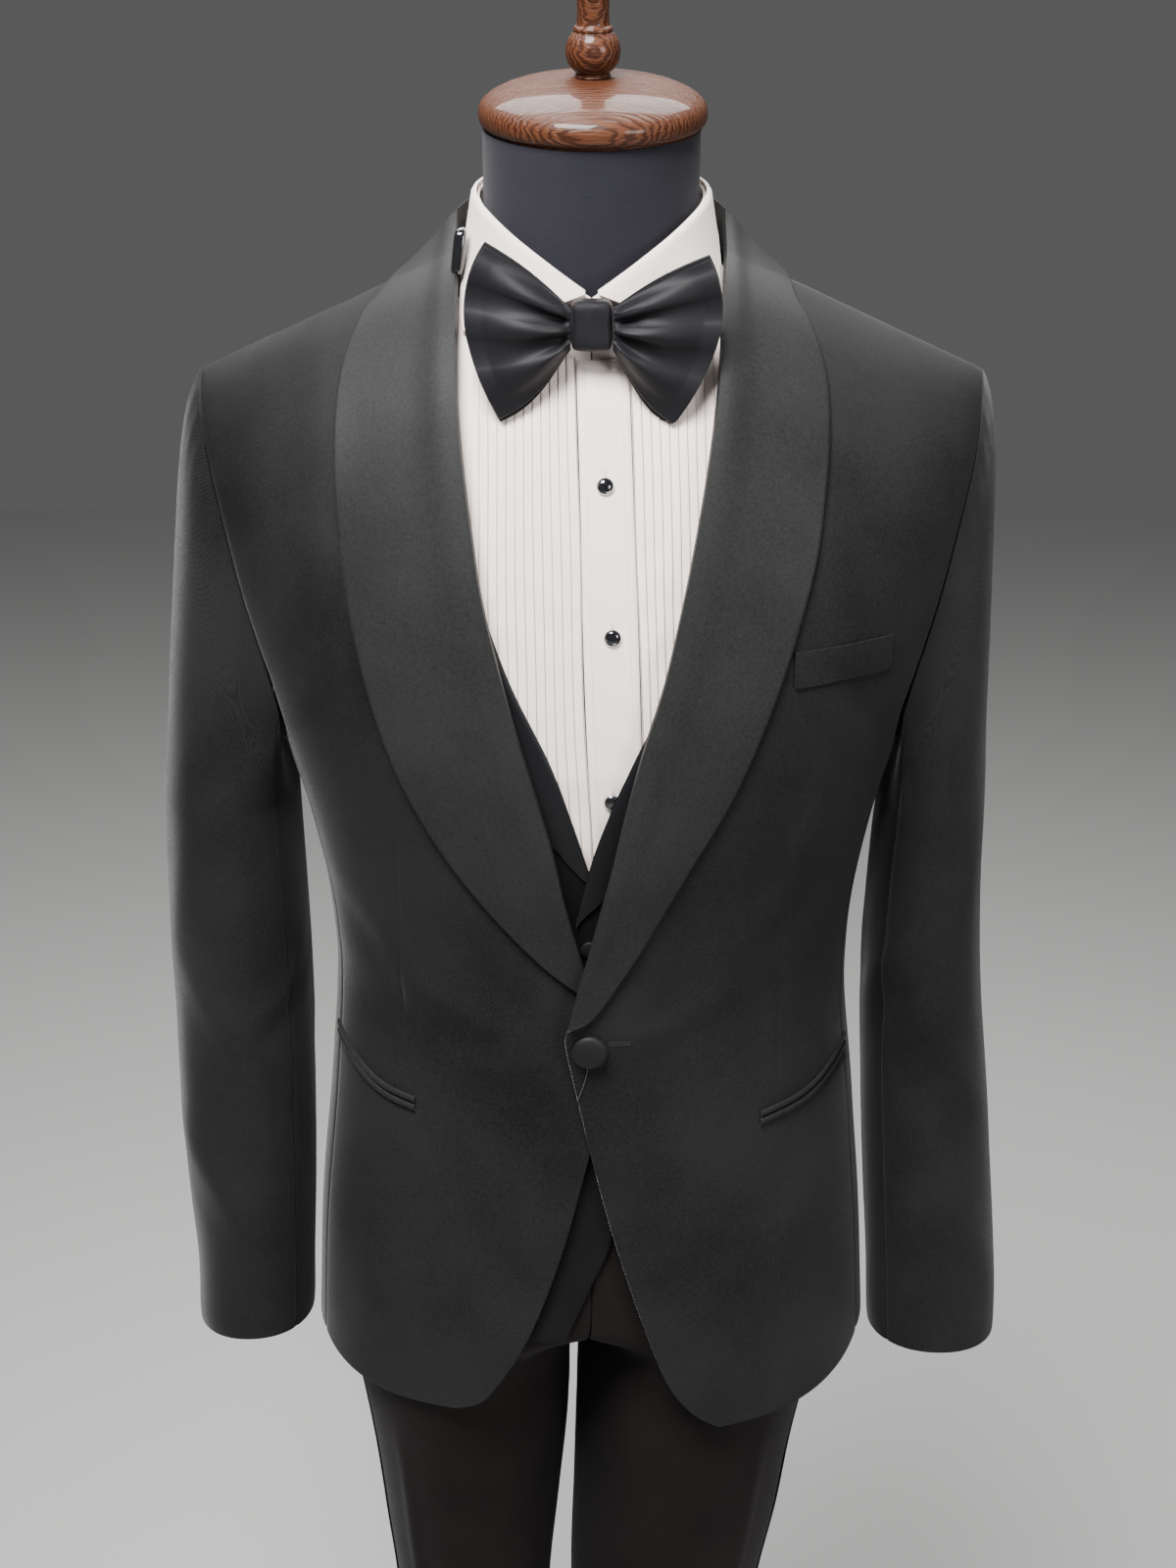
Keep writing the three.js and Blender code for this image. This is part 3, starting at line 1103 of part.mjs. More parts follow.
function trouserWaistband() {
  const rows = [{ z: 1103.5 }, { z: 1130 }];
  const face = (distance) => rows.map(({ z }) => Array.from({ length: 32 }, (_, i) => (
    skin((i / 32) * 360 - 180, z, distance))));
  add('trouser_waistband', 'trouser', wall(face(WAISTBAND.outer), face(WAISTBAND.inner), true));
}

// The set, from the form outwards
add('form_torso', 'jersey', formTorso());
formHead();
formStand();
shirtBack();
SIDES.forEach(shirtFront);
shirtPlacket();
shirtCollar();
[[8, 1454], [12, 1370.5], [12, 1272]].forEach(([x, z], i) => (
  button(`stud_${i + 1}`, 'stud', x, z, 4.6, 2.2, PLACKET.outer + 0.3)));
SIDES.forEach(bowWing);
bowKnot();
bowNeckband();
SIDES.forEach(trousers);
trouserWaistband();
waistcoatBack();
SIDES.forEach(waistcoatFront);
[1176, 1132, 1088].forEach((z, i) => (
  button(`waistcoat_button_${i + 1}`, 'button', -1, z, 5.6, 1.8, WAISTCOAT.outer + UNDERLAP.left + 0.7)));
SIDES.forEach(jacketBack);
SIDES.forEach(jacketSide);
SIDES.forEach(jacketFront);
SIDES.forEach(sleeve);
SIDES.forEach(shawl);
jacketTrim();
button('jacket_button', 'button', -1, 1113.8, 10.6, 5, 0.9, lapLift);

export default tuxedo;
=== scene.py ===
import math

import bpy
import numpy as np
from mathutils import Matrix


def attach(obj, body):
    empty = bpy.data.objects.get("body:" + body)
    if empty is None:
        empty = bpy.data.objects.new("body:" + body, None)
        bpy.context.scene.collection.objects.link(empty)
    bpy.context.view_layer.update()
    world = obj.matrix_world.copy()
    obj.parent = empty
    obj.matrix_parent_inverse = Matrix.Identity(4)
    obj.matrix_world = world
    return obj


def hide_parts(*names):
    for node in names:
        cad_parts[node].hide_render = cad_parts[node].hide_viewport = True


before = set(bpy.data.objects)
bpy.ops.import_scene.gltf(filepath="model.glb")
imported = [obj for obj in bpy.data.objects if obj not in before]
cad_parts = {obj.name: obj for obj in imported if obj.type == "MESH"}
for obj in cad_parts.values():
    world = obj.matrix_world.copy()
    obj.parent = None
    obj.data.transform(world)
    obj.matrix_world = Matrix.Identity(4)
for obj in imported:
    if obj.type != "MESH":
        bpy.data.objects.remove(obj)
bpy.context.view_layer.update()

# Studio: the camera stands at chest height, 1.3 m in front of the form, and looks down on it a little.
# A pale floor and wall colour, one broad light on each side and one above, as in a shop window.
CAMERA_PLACE = (-0.002, -1.285, 1.716)
CAMERA_DOWN = 20.5
FOCAL_LENGTH_PX = 2200
IMAGE_HEIGHT_PX = 1600
SENSOR_MM = 36

camera = bpy.data.cameras.new("camera")
camera.sensor_width = SENSOR_MM
camera.lens = FOCAL_LENGTH_PX / IMAGE_HEIGHT_PX * SENSOR_MM
camera_object = bpy.data.objects.new("camera", camera)
camera_object.location = CAMERA_PLACE
camera_object.rotation_euler = (math.radians(90 - CAMERA_DOWN), 0, 0)
bpy.context.scene.collection.objects.link(camera_object)
bpy.context.scene.camera = camera_object


def studio_light(name, place, target, size, watts):
    light = bpy.data.lights.new(name, "AREA")
    light.shape = "RECTANGLE"
    light.size, light.size_y = size
    light.energy = watts
    holder = bpy.data.objects.new(name, light)
    holder.location = place
    reach = [b - a for a, b in zip(place, target)]
    across = math.hypot(reach[0], reach[1])
    holder.rotation_euler = (math.atan2(across, -reach[2]), 0, math.atan2(-reach[0], reach[1]))
    bpy.context.scene.collection.objects.link(holder)


studio_light("key_light", (-0.5, -1.2, 3.25), (0, 0, 1.4), (1.1, 0.9), 190)
studio_light("fill_light", (1.9, -2.2, 2.0), (0, 0, 1.2), (1.0, 1.0), 46)
studio_light("top_light", (0, 0.9, 3.0), (0, 0, 1.45), (2.2, 0.9), 85)

world = bpy.data.worlds.new("studio")
world.use_nodes = True
world.node_tree.nodes["Background"].inputs["Color"].default_value = (0.62, 0.62, 0.63, 1)
world.node_tree.nodes["Background"].inputs["Strength"].default_value = 0.17
bpy.context.scene.world = world

FLOOR_HALF = 6.0
floor_mesh = bpy.data.meshes.new("floor")
floor_mesh.from_pydata(
    [(-FLOOR_HALF, -FLOOR_HALF, 0), (FLOOR_HALF, -FLOOR_HALF, 0),
     (FLOOR_HALF, FLOOR_HALF, 0), (-FLOOR_HALF, FLOOR_HALF, 0)], [], [(0, 1, 2, 3)])
floor = bpy.data.objects.new("floor", floor_mesh)
floor_paint = bpy.data.materials.new("floor_paint")
floor_paint.use_nodes = True
floor_paint.node_tree.nodes["Principled BSDF"].inputs["Base Color"].default_value = (0.47, 0.47, 0.46, 1)
floor_paint.node_tree.nodes["Principled BSDF"].inputs["Roughness"].default_value = 0.7
floor_mesh.materials.append(floor_paint)
bpy.context.scene.collection.objects.link(floor)

# Dress form, torso and neck: a padded limbless block pulled into a smooth dark jersey cover, of which only
# the neck shows above the collar. Its rings are as deep as the shirt leaves room for.
MM = 0.001


def table(names, *rows):
    return {name: np.array(column, float) for name, column in zip(names.split(), zip(*rows))}


def read(rows, key, name, at):
    """Smooth value of a table's column between its rows."""
    keys, values = rows[key], rows[name]
    at = np.clip(at, keys[0], keys[-1])
    row = np.clip(np.searchsorted(keys, at, side="right") - 1, 0, len(keys) - 2)
    first = np.maximum(np.arange(len(keys)) - 1, 0)
    last = np.minimum(np.arange(len(keys)) + 1, len(keys) - 1)
    slope = (values[last] - values[first]) / (keys[last] - keys[first])
    span = keys[row + 1] - keys[row]
    t = (at - keys[row]) / span
    return ((2 * t**3 - 3 * t**2 + 1) * values[row] + (t**3 - 2 * t**2 + t) * span * slope[row]
            + (3 * t**2 - 2 * t**3) * values[row + 1] + (t**3 - t**2) * span * slope[row + 1])


def mix(a, b, t):
    return a + (b - a) * t


def smooth(t):
    k = np.clip(t, 0, 1)
    return k * k * (3 - 2 * k)


def mesh_object(name, points, faces, uvs=None, sharp=50):
    """A mesh in metres from points in millimetres; uvs has one pair in metres for each point."""
    mesh = bpy.data.meshes.new(name)
    mesh.from_pydata([tuple(p) for p in np.asarray(points) * MM], [], faces)
    if uvs is not None:
        layer = mesh.uv_layers.new(name="cloth")
        loops = np.empty(len(mesh.loops), np.int32)
        mesh.loops.foreach_get("vertex_index", loops)
        layer.data.foreach_set("uv", np.asarray(uvs)[loops].astype(np.float32).ravel())
    mesh.validate()
    mesh.polygons.foreach_set("use_smooth", [True] * len(mesh.polygons))
    mesh.set_sharp_from_angle(angle=math.radians(sharp))
    made = bpy.data.objects.new(name, mesh)
    bpy.context.scene.collection.objects.link(made)
    return made


def grid_faces(rows, cols, start=0, round_=False, flip=False):
    faces = []
    for row in range(rows - 1):
        for col in range(cols if round_ else cols - 1):
            nxt = (col + 1) % cols
            face = (start + row * cols + col, start + row * cols + nxt,
                    start + (row + 1) * cols + nxt, start + (row + 1) * cols + col)
            faces.append(face[::-1] if flip else face)
    return faces


def lengths_along(grid, axis):
    """Distance run along a grid's rows or columns, in metres."""
    step = np.linalg.norm(np.diff(grid, axis=axis), axis=2)
    pad = [(0, 0), (0, 0)]
    pad[axis] = (1, 0)
    return np.cumsum(np.pad(step, pad), axis=axis) * MM


def ring_solid(name, rings):
    """A closed body through rings of points, one above another, with a flat cap on each end."""
    rings = np.asarray(rings)
    rows, cols = rings.shape[:2]
    faces = grid_faces(rows, cols, round_=True)
    faces.append(tuple(range(cols))[::-1])
    faces.append(tuple((rows - 1) * cols + i for i in range(cols)))
    around = lengths_along(rings, 1)
    uvs = np.stack([around, rings[:, :, 2] * MM], 2)
    return mesh_object(name, rings.reshape(-1, 3), faces, uvs.reshape(-1, 2))


FORM = table(
    "z half front back middle exponent",
    (915, 170, 120, 119, 0, 2.4), (950, 167.8, 118.8, 118.8, 0, 2.4), (1054, 155.6, 112.5, 102.8, 0, 2.4),
    (1126, 149, 110, 94, 0, 2.4), (1175, 151, 112, 97, 0, 2.4), (1235, 160, 118, 104, 0, 2.4),
    (1285, 170, 122, 111, 0, 2.4), (1340, 183, 118, 109, 2, 2.4), (1400, 190, 109, 105, 4, 2.4),
    (1450, 183, 93, 95, 7, 2.3), (1480, 175, 83, 89, 8, 2.2), (1505, 145, 71, 80, 9, 2),
    (1525, 105, 58, 68, 9, 2), (1540, 77, 54, 61, 6, 2), (1556, 63, 56, 59, 2, 2),
    (1600, 62.5, 59, 64, 2, 2), (1636.5, 62.5, 61, 63, 1, 2))
NECK_TILT = math.radians(9)
FORM_STEP = 6
FORM_SIDES = 96


def signed_power(value, power):
    return np.sign(value) * np.abs(value) ** power


def form_rings():
    heights = np.append(np.arange(FORM["z"][0], FORM["z"][-1], FORM_STEP), FORM["z"][-1])
    turn = np.arange(FORM_SIDES) / FORM_SIDES * 2 * np.pi
    rings = []
    for z in heights:
        row = {name: np.interp(z, FORM["z"], FORM[name]) for name in FORM}
        power = 2 / row["exponent"]
        ahead = np.cos(turn) > 0
        depth = np.where(ahead, row["front"] + row["middle"], row["back"] - row["middle"])
        x = row["half"] * signed_power(np.sin(turn), power)
        y = row["middle"] - depth * signed_power(np.cos(turn), power)
        slope = np.clip((z - 1600) / (FORM["z"][-1] - 1600), 0, 1) * math.tan(NECK_TILT)
        rings.append(np.stack([x, y, z + y * slope], 1))
    return rings


def shader(name):
    material = bpy.data.materials.new(name)
    material.use_nodes = True
    nodes = material.node_tree.nodes
    return material, material.node_tree, nodes["Principled BSDF"]


def node(tree, kind, **settings):
    made = tree.nodes.new(kind)
    for key, value in settings.items():
        setattr(made, key, value)
    return made


def colour_ramp(tree, source, stops):
    ramp = node(tree, "ShaderNodeValToRGB")
    elements = ramp.color_ramp.elements
    while len(elements) < len(stops):
        elements.new(0.5)
    for element, (place, colour) in zip(elements, stops):
        element.position = place
        element.color = (*colour, 1)
    tree.links.new(source, ramp.inputs["Fac"])
    return ramp.outputs["Color"]


def woven(name, dark, light, roughness, thread_mm, depth_mm, sheen=0.0, sheen_roughness=0.4, twill=True,
          specular=0.4, anisotropic=0.0, cloud_mm=90.0, slub=0.35, melange=0.0):
    """A woven cloth: threads run with the piece's own UV map, in metres, with slow changes of shade over it and
    a melange of lighter and darker yarns."""
    material, tree, bsdf = shader(name)
    uv = node(tree, "ShaderNodeUVMap", uv_map="cloth")
    turned = node(tree, "ShaderNodeMapping")
    turned.inputs["Rotation"].default_value = (0, 0, math.radians(38 if twill else 0))
    tree.links.new(uv.outputs["UV"], turned.inputs["Vector"])
    warp = node(tree, "ShaderNodeTexWave", wave_type="BANDS", bands_direction="X")
    weft = node(tree, "ShaderNodeTexWave", wave_type="BANDS", bands_direction="Y")
    for wave in (warp, weft):
        wave.inputs["Scale"].default_value = math.tau / 20 / (thread_mm * MM)
        wave.inputs["Distortion"].default_value = 0.6
        wave.inputs["Detail Scale"].default_value = 2
        tree.links.new(turned.outputs["Vector"], wave.inputs["Vector"])
    weft.inputs["Scale"].default_value *= 0.5 if twill else 1
    threads = node(tree, "ShaderNodeMath", operation="MULTIPLY_ADD")
    tree.links.new(warp.outputs["Fac"], threads.inputs[0])
    threads.inputs[1].default_value = 0.65
    tree.links.new(weft.outputs["Fac"], threads.inputs[2])
    where = node(tree, "ShaderNodeTexCoord")
    fuzz = node(tree, "ShaderNodeTexNoise")
    fuzz.inputs["Scale"].default_value = 1 / (thread_mm * MM * 3)
    fuzz.inputs["Detail"].default_value = 3
    tree.links.new(where.outputs["Object"], fuzz.inputs["Vector"])
    rough_threads = node(tree, "ShaderNodeMath", operation="MULTIPLY_ADD")
    tree.links.new(fuzz.outputs["Fac"], rough_threads.inputs[0])
    rough_threads.inputs[1].default_value = slub * 2
    tree.links.new(threads.outputs[0], rough_threads.inputs[2])
    clouds = node(tree, "ShaderNodeTexNoise")
    clouds.inputs["Scale"].default_value = 1 / (cloud_mm * MM)
    clouds.inputs["Detail"].default_value = 4
    tree.links.new(where.outputs["Object"], clouds.inputs["Vector"])
    shade = node(tree, "ShaderNodeMath", operation="MULTIPLY_ADD")
    tree.links.new(rough_threads.outputs[0], shade.inputs[0])
    shade.inputs[1].default_value = 0.22
    tree.links.new(clouds.outputs["Fac"], shade.inputs[2])
    yarns = node(tree, "ShaderNodeTexNoise")
    yarns.inputs["Scale"].default_value = 620
    yarns.inputs["Detail"].default_value = 2
    tree.links.new(where.outputs["Object"], yarns.inputs["Vector"])
    flecked = node(tree, "ShaderNodeMath", operation="MULTIPLY_ADD")
    tree.links.new(yarns.outputs["Fac"], flecked.inputs[0])
    flecked.inputs[1].default_value = melange
    tree.links.new(shade.outputs[0], flecked.inputs[2])
    level = node(tree, "ShaderNodeMath", operation="SUBTRACT")
    tree.links.new(flecked.outputs[0], level.inputs[0])
    level.inputs[1].default_value = melange / 2
    colour = colour_ramp(tree, level.outputs[0], [(0.35, dark), (0.95, light)])
    tree.links.new(colour, bsdf.inputs["Base Color"])
    bump = node(tree, "ShaderNodeBump")
    bump.inputs["Strength"].default_value = 0.6
    bump.inputs["Distance"].default_value = depth_mm * MM
    tree.links.new(rough_threads.outputs[0], bump.inputs["Height"])
    tree.links.new(bump.outputs["Normal"], bsdf.inputs["Normal"])
    bsdf.inputs["Roughness"].default_value = roughness
    bsdf.inputs["Specular IOR Level"].default_value = specular
    bsdf.inputs["Sheen Weight"].default_value = sheen
    bsdf.inputs["Sheen Roughness"].default_value = sheen_roughness
    bsdf.inputs["Anisotropic"].default_value = anisotropic
    return material


form_jersey = woven("form_jersey", (0.009, 0.0085, 0.0125), (0.018, 0.017, 0.024), 0.8, 0.6, 0.12, sheen=0.08,
                    sheen_roughness=0.5, twill=False, specular=0.15)


def finish_piece(piece, material, slot, *nodes):
    """The piece gets its finish, rides on the part's one body and stands for its CAD nodes."""
    piece.data.materials.clear()
    piece.data.materials.append(material)
    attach(piece, "root")
    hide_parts(*nodes)


form_block = ring_solid("form_block", form_rings())
finish_piece(form_block, form_jersey, "form_jersey", "form_torso")

# Neck cap and finial: one disc and one knob turned in oak, stained red-brown and varnished, screwed down on
# the neck's top.
CAP_PLACE = (0.8, 0, 1637)
CAP_PROFILE = [(0, 0), (57, 0), (61.6, 0.8), (64.6, 3.2), (65.5, 7), (65, 11), (62.6, 14.6), (57.5, 18.2),
               (49, 21.8), (37, 24.7), (22, 26.5), (10, 26.9), (0, 27)]
FINIAL_PROFILE = [(0, 27.3), (9.5, 27.3), (9.9, 28.2), (9.6, 29.4), (11.4, 31), (14, 34.4), (15.4, 39),
                  (15.4, 43.4), (14, 47.8), (11.8, 50.8), (10.9, 51.8), (11.2, 53), (10.6, 54.4), (9.4, 55.6),
                  (9, 60), (9.2, 70), (10, 80), (11.4, 86), (11.8, 89), (11, 93), (8.4, 96.4), (4, 97.8), (0, 98)]
TURNED_SIDES = 96


def rounded_profile(profile, steps=4):
    """More points along a turned profile, on a smooth line through the given ones."""
    spots = np.array(profile, float)
    rows = {"i": np.arange(len(spots), dtype=float), "r": spots[:, 0], "z": spots[:, 1]}
    at = np.linspace(0, len(spots) - 1, (len(spots) - 1) * steps + 1)
    return np.stack([np.maximum(read(rows, "i", "r", at), 0), read(rows, "i", "z", at)], 1)


def turned(name, profile, place, sides=TURNED_SIDES, sharp=40, tilt=0.0):
    """A turned body whose profile starts and ends on its axis."""
    inner = profile[1:-1]
    turn = np.arange(sides) / sides * 2 * np.pi
    rings = [np.stack([r * np.cos(turn), r * np.sin(turn), np.full(sides, z)], 1) for r, z in inner]
    points = np.concatenate([np.concatenate(rings), [(0, 0, profile[0][1]), (0, 0, profile[-1][1])]])
    faces = grid_faces(len(inner), sides, round_=True)
    low, high = len(points) - 2, len(points) - 1
    top = (len(inner) - 1) * sides
    faces += [(low, (i + 1) % sides, i) for i in range(sides)]
    faces += [(high, top + i, top + (i + 1) % sides) for i in range(sides)]
    y, z = points[:, 1].copy(), points[:, 2].copy()
    points[:, 1] = y * math.cos(tilt) - z * math.sin(tilt)
    points[:, 2] = y * math.sin(tilt) + z * math.cos(tilt)
    return mesh_object(name, points + np.array(place), faces, sharp=sharp)


def varnished_wood(name):
    material, tree, bsdf = shader(name)
    where = node(tree, "ShaderNodeTexCoord")
    place = node(tree, "ShaderNodeMapping")
    place.inputs["Location"].default_value = (0.05, 0.02, -1.63)
    place.inputs["Scale"].default_value = (1.4, 9, 9)
    tree.links.new(where.outputs["Object"], place.inputs["Vector"])
    grain = node(tree, "ShaderNodeTexWave", wave_type="BANDS", bands_direction="Y")
    grain.inputs["Scale"].default_value = 14
    grain.inputs["Distortion"].default_value = 7
    grain.inputs["Detail"].default_value = 4
    grain.inputs["Detail Scale"].default_value = 1.6
    tree.links.new(place.outputs["Vector"], grain.inputs["Vector"])
    pores = node(tree, "ShaderNodeTexNoise")
    pores.inputs["Scale"].default_value = 130
    pores.inputs["Detail"].default_value = 6
    tree.links.new(place.outputs["Vector"], pores.inputs["Vector"])
    both = node(tree, "ShaderNodeMath", operation="MULTIPLY_ADD")
    tree.links.new(pores.outputs["Fac"], both.inputs[0])
    both.inputs[1].default_value = 0.9
    tree.links.new(grain.outputs["Fac"], both.inputs[2])
    colour = colour_ramp(tree, both.outputs[0], [
        (0.15, (0.022, 0.0065, 0.0032)), (0.55, (0.042, 0.0125, 0.0058)), (0.85, (0.062, 0.0195, 0.0085)),
        (1.0, (0.088, 0.03, 0.013))])
    tree.links.new(colour, bsdf.inputs["Base Color"])
    bsdf.inputs["Roughness"].default_value = 0.42
    bsdf.inputs["Specular IOR Level"].default_value = 0.18
    bsdf.inputs["Coat Weight"].default_value = 0.25
    bsdf.inputs["Coat Roughness"].default_value = 0.07
    bump = node(tree, "ShaderNodeBump")
    bump.inputs["Distance"].default_value = 0.0008
    bump.inputs["Strength"].default_value = 0.5
    tree.links.new(both.outputs[0], bump.inputs["Height"])
    tree.links.new(bump.outputs["Normal"], bsdf.inputs["Normal"])
    return material


form_wood = varnished_wood("form_wood")
neck_cap = turned("neck_cap", rounded_profile(CAP_PROFILE), CAP_PLACE, tilt=NECK_TILT)
finish_piece(neck_cap, form_wood, "form_wood", "form_neck_cap")
finial = turned("finial", rounded_profile(FINIAL_PROFILE), CAP_PLACE, tilt=NECK_TILT)
finish_piece(finial, form_wood, "form_wood", "form_finial")

# Stand: a heavy round steel plate, a turned socket welded on it, and a tube that goes up inside the wearer's
# left trouser leg into the form.
BASE_RADIUS = 200
POLE_PLACE = (52, 4, 0)
POLE_SPAN = (34.3, 914.7)


def brushed_steel(name):
    material, tree, bsdf = shader(name)
    where = node(tree, "ShaderNodeTexCoord")
    brushed = node(tree, "ShaderNodeTexNoise")
    brushed.inputs["Scale"].default_value = 240
    brushed.inputs["Detail"].default_value = 5
    tree.links.new(where.outputs["Object"], brushed.inputs["Vector"])
    colour = colour_ramp(tree, brushed.outputs["Fac"], [(0.3, (0.42, 0.43, 0.44)), (0.7, (0.56, 0.57, 0.58))])
    tree.links.new(colour, bsdf.inputs["Base Color"])
    bsdf.inputs["Metallic"].default_value = 1
    bsdf.inputs["Roughness"].default_value = 0.34
    bump = node(tree, "ShaderNodeBump")
    bump.inputs["Distance"].default_value = 0.0001
    bump.inputs["Strength"].default_value = 0.25
    tree.links.new(brushed.outputs["Fac"], bump.inputs["Height"])
    tree.links.new(bump.outputs["Normal"], bsdf.inputs["Normal"])
    return material


stand_steel = brushed_steel("stand_steel")
base_plate = turned("base_plate", [(0, 0), (196, 0), (198.5, 0.6), (200, 2.2), (200, 6.4), (199, 8), (196.5, 9),
                                   (188, 10), (0, 10)], (0, 0, 0), sides=128, sharp=30)
finish_piece(base_plate, stand_steel, "stand_steel", "form_base")
pole_socket = turned("pole_socket", [(0, 10.3), (25, 10.3), (26, 11.3), (26, 14), (25, 15.4), (21, 19), (18.6, 22),
                                     (18, 25), (18, 33), (17.2, 34), (0, 34)], POLE_PLACE, sides=64, sharp=30)
finish_piece(pole_socket, stand_steel, "stand_steel", "form_socket")
pole = turned("pole", [(0, POLE_SPAN[0]), (13, POLE_SPAN[0]), (13, POLE_SPAN[1]), (0, POLE_SPAN[1])], POLE_PLACE,
              sides=48)
finish_piece(pole, stand_steel, "stand_steel", "form_pole")

# Shirt: white cotton with twelve pin tucks on each side of a button placket, cut to the trunk that all the
# garments share, each at its own distance from the jacket's outer face.
CHEST_LEVEL = 1285
SHOULDER_LEVEL = 1500
SHOULDER_HALF = 232
SHOULDER_TIP_Z = 1499
SHOULDER_SLOPE = 0.443
TRUNK_EXPONENT = 2.4
CHEST_FRONT = 138
CHEST_BACK = 128
BLADE_FULLNESS = 0.15
TRUNK = table(
    "z half front back",
    (840, 187, 138, 132), (870, 186, 137, 134), (950, 181, 132, 132), (1054, 170, 126, 116),
    (1126, 164, 124, 108), (1175, 167, 127, 112), (1235, 178, 134, 121), (1285, 192, 138, 128))
YOKE = table("climb half", (0, 192), (20, 219), (35, 233), (55, 246), (90, 254))


def ridge_height(x):
    return SHOULDER_TIP_Z + (SHOULDER_HALF - np.abs(x)) * SHOULDER_SLOPE


def ridge_depth(x):
    return 18 - 0.07 * np.abs(x)


def trunk(theta, level):
    """Points of the trunk: theta goes from 0 at the front to 180 at the back, wearer's left positive."""
    theta, level = np.broadcast_arrays(np.asarray(theta, float), np.asarray(level, float))
    side = np.where(theta < 0, -1.0, 1.0)
    turn = np.abs(theta)
    past = turn > 180
    turn = np.where(past, 360 - turn, turn)
    side = np.where(past, -side, side)
    behind = turn > 90
    quarter = np.radians(np.where(behind, 180 - turn, turn))
    across = np.clip(np.sin(quarter), 0, None) ** (2 / TRUNK_EXPONENT)
    out = np.clip(np.cos(quarter), 0, None) ** (2 / TRUNK_EXPONENT)
    climb = np.clip((level - CHEST_LEVEL) / (SHOULDER_LEVEL - CHEST_LEVEL), 0, 1) * 90
    high = level > CHEST_LEVEL
    half = np.where(high, read(YOKE, "climb", "half", climb), read(TRUNK, "z", "half", level))
    x = side * half * across
    rise = np.sin(np.radians(climb))
    depth = np.where(behind, CHEST_BACK, -CHEST_FRONT) * out
    fullness = np.where(behind, 1 + BLADE_FULLNESS * rise * rise, 1)
    high_y = ridge_depth(x) + (depth - ridge_depth(x)) * np.cos(np.radians(climb)) * fullness
    high_z = CHEST_LEVEL + rise * (ridge_height(x) - CHEST_LEVEL)
    low_y = np.where(behind, read(TRUNK, "z", "back", level), -read(TRUNK, "z", "front", level)) * out
    return np.stack([x, np.where(high, high_y, low_y), np.where(high, high_z, level)], -1)


def skin(theta, level, distance):
    """Points at a distance out from the trunk, along its normal."""
    theta, level = np.broadcast_arrays(np.asarray(theta, float), np.asarray(level, float))
    top = np.minimum(level + 1, SHOULDER_LEVEL)
    round_ = trunk(theta + 0.5, level) - trunk(theta - 0.5, level)
    up = trunk(theta, top) - trunk(theta, top - 2)
    normal = np.cross(round_, up)
    normal /= np.linalg.norm(normal, axis=-1, keepdims=True)
    return trunk(theta, level) + normal * np.broadcast_to(distance, theta.shape)[..., None]


def on_front(x, z):
    """Theta and level of the trunk's front at a width and a height."""
    x, z = np.broadcast_arrays(np.asarray(x, float), np.asarray(z, float))
    rise = np.clip((z - CHEST_LEVEL) / (ridge_height(x) - CHEST_LEVEL), 0, 1)
    climb = np.degrees(np.arcsin(rise))
    high = z > CHEST_LEVEL
    half = np.where(high, read(YOKE, "climb", "half", climb), read(TRUNK, "z", "half", z))
    level = np.where(high, mix(CHEST_LEVEL, SHOULDER_LEVEL, climb / 90), z)
    across = np.clip(np.abs(x) / half, 0, 1) ** (TRUNK_EXPONENT / 2)
    return np.sign(x) * np.degrees(np.arcsin(across)), level


def on_back(x, z):
    theta, level = on_front(x, z)
    return np.where(np.asarray(x) < 0, -180, 180) - theta, level


def finer(rows, count, key="i"):
    """A table read again at evenly spaced places between its rows."""
    size = len(next(iter(rows.values())))
    keyed = {**rows, key: np.arange(size, dtype=float)}
    at = np.linspace(0, size - 1, count)
    return {name: read(keyed, key, name, at) for name in rows}


def drawn_in(grid, reach, tube):
    """The grid with its border moved in a little, to leave room for a rounded edge."""
    moved = grid.copy()

    def pull(line, beside):
        span = np.linalg.norm(beside - line, axis=-1, keepdims=True)
        return line + (beside - line) * np.minimum(reach / np.maximum(span, 1e-6), 0.45)

    moved[0], moved[-1] = pull(grid[0], grid[1]), pull(grid[-1], grid[-2])
    if not tube:
        moved[:, 0], moved[:, -1] = pull(moved[:, 0], moved[:, 1]), pull(moved[:, -1], moved[:, -2])
    return moved


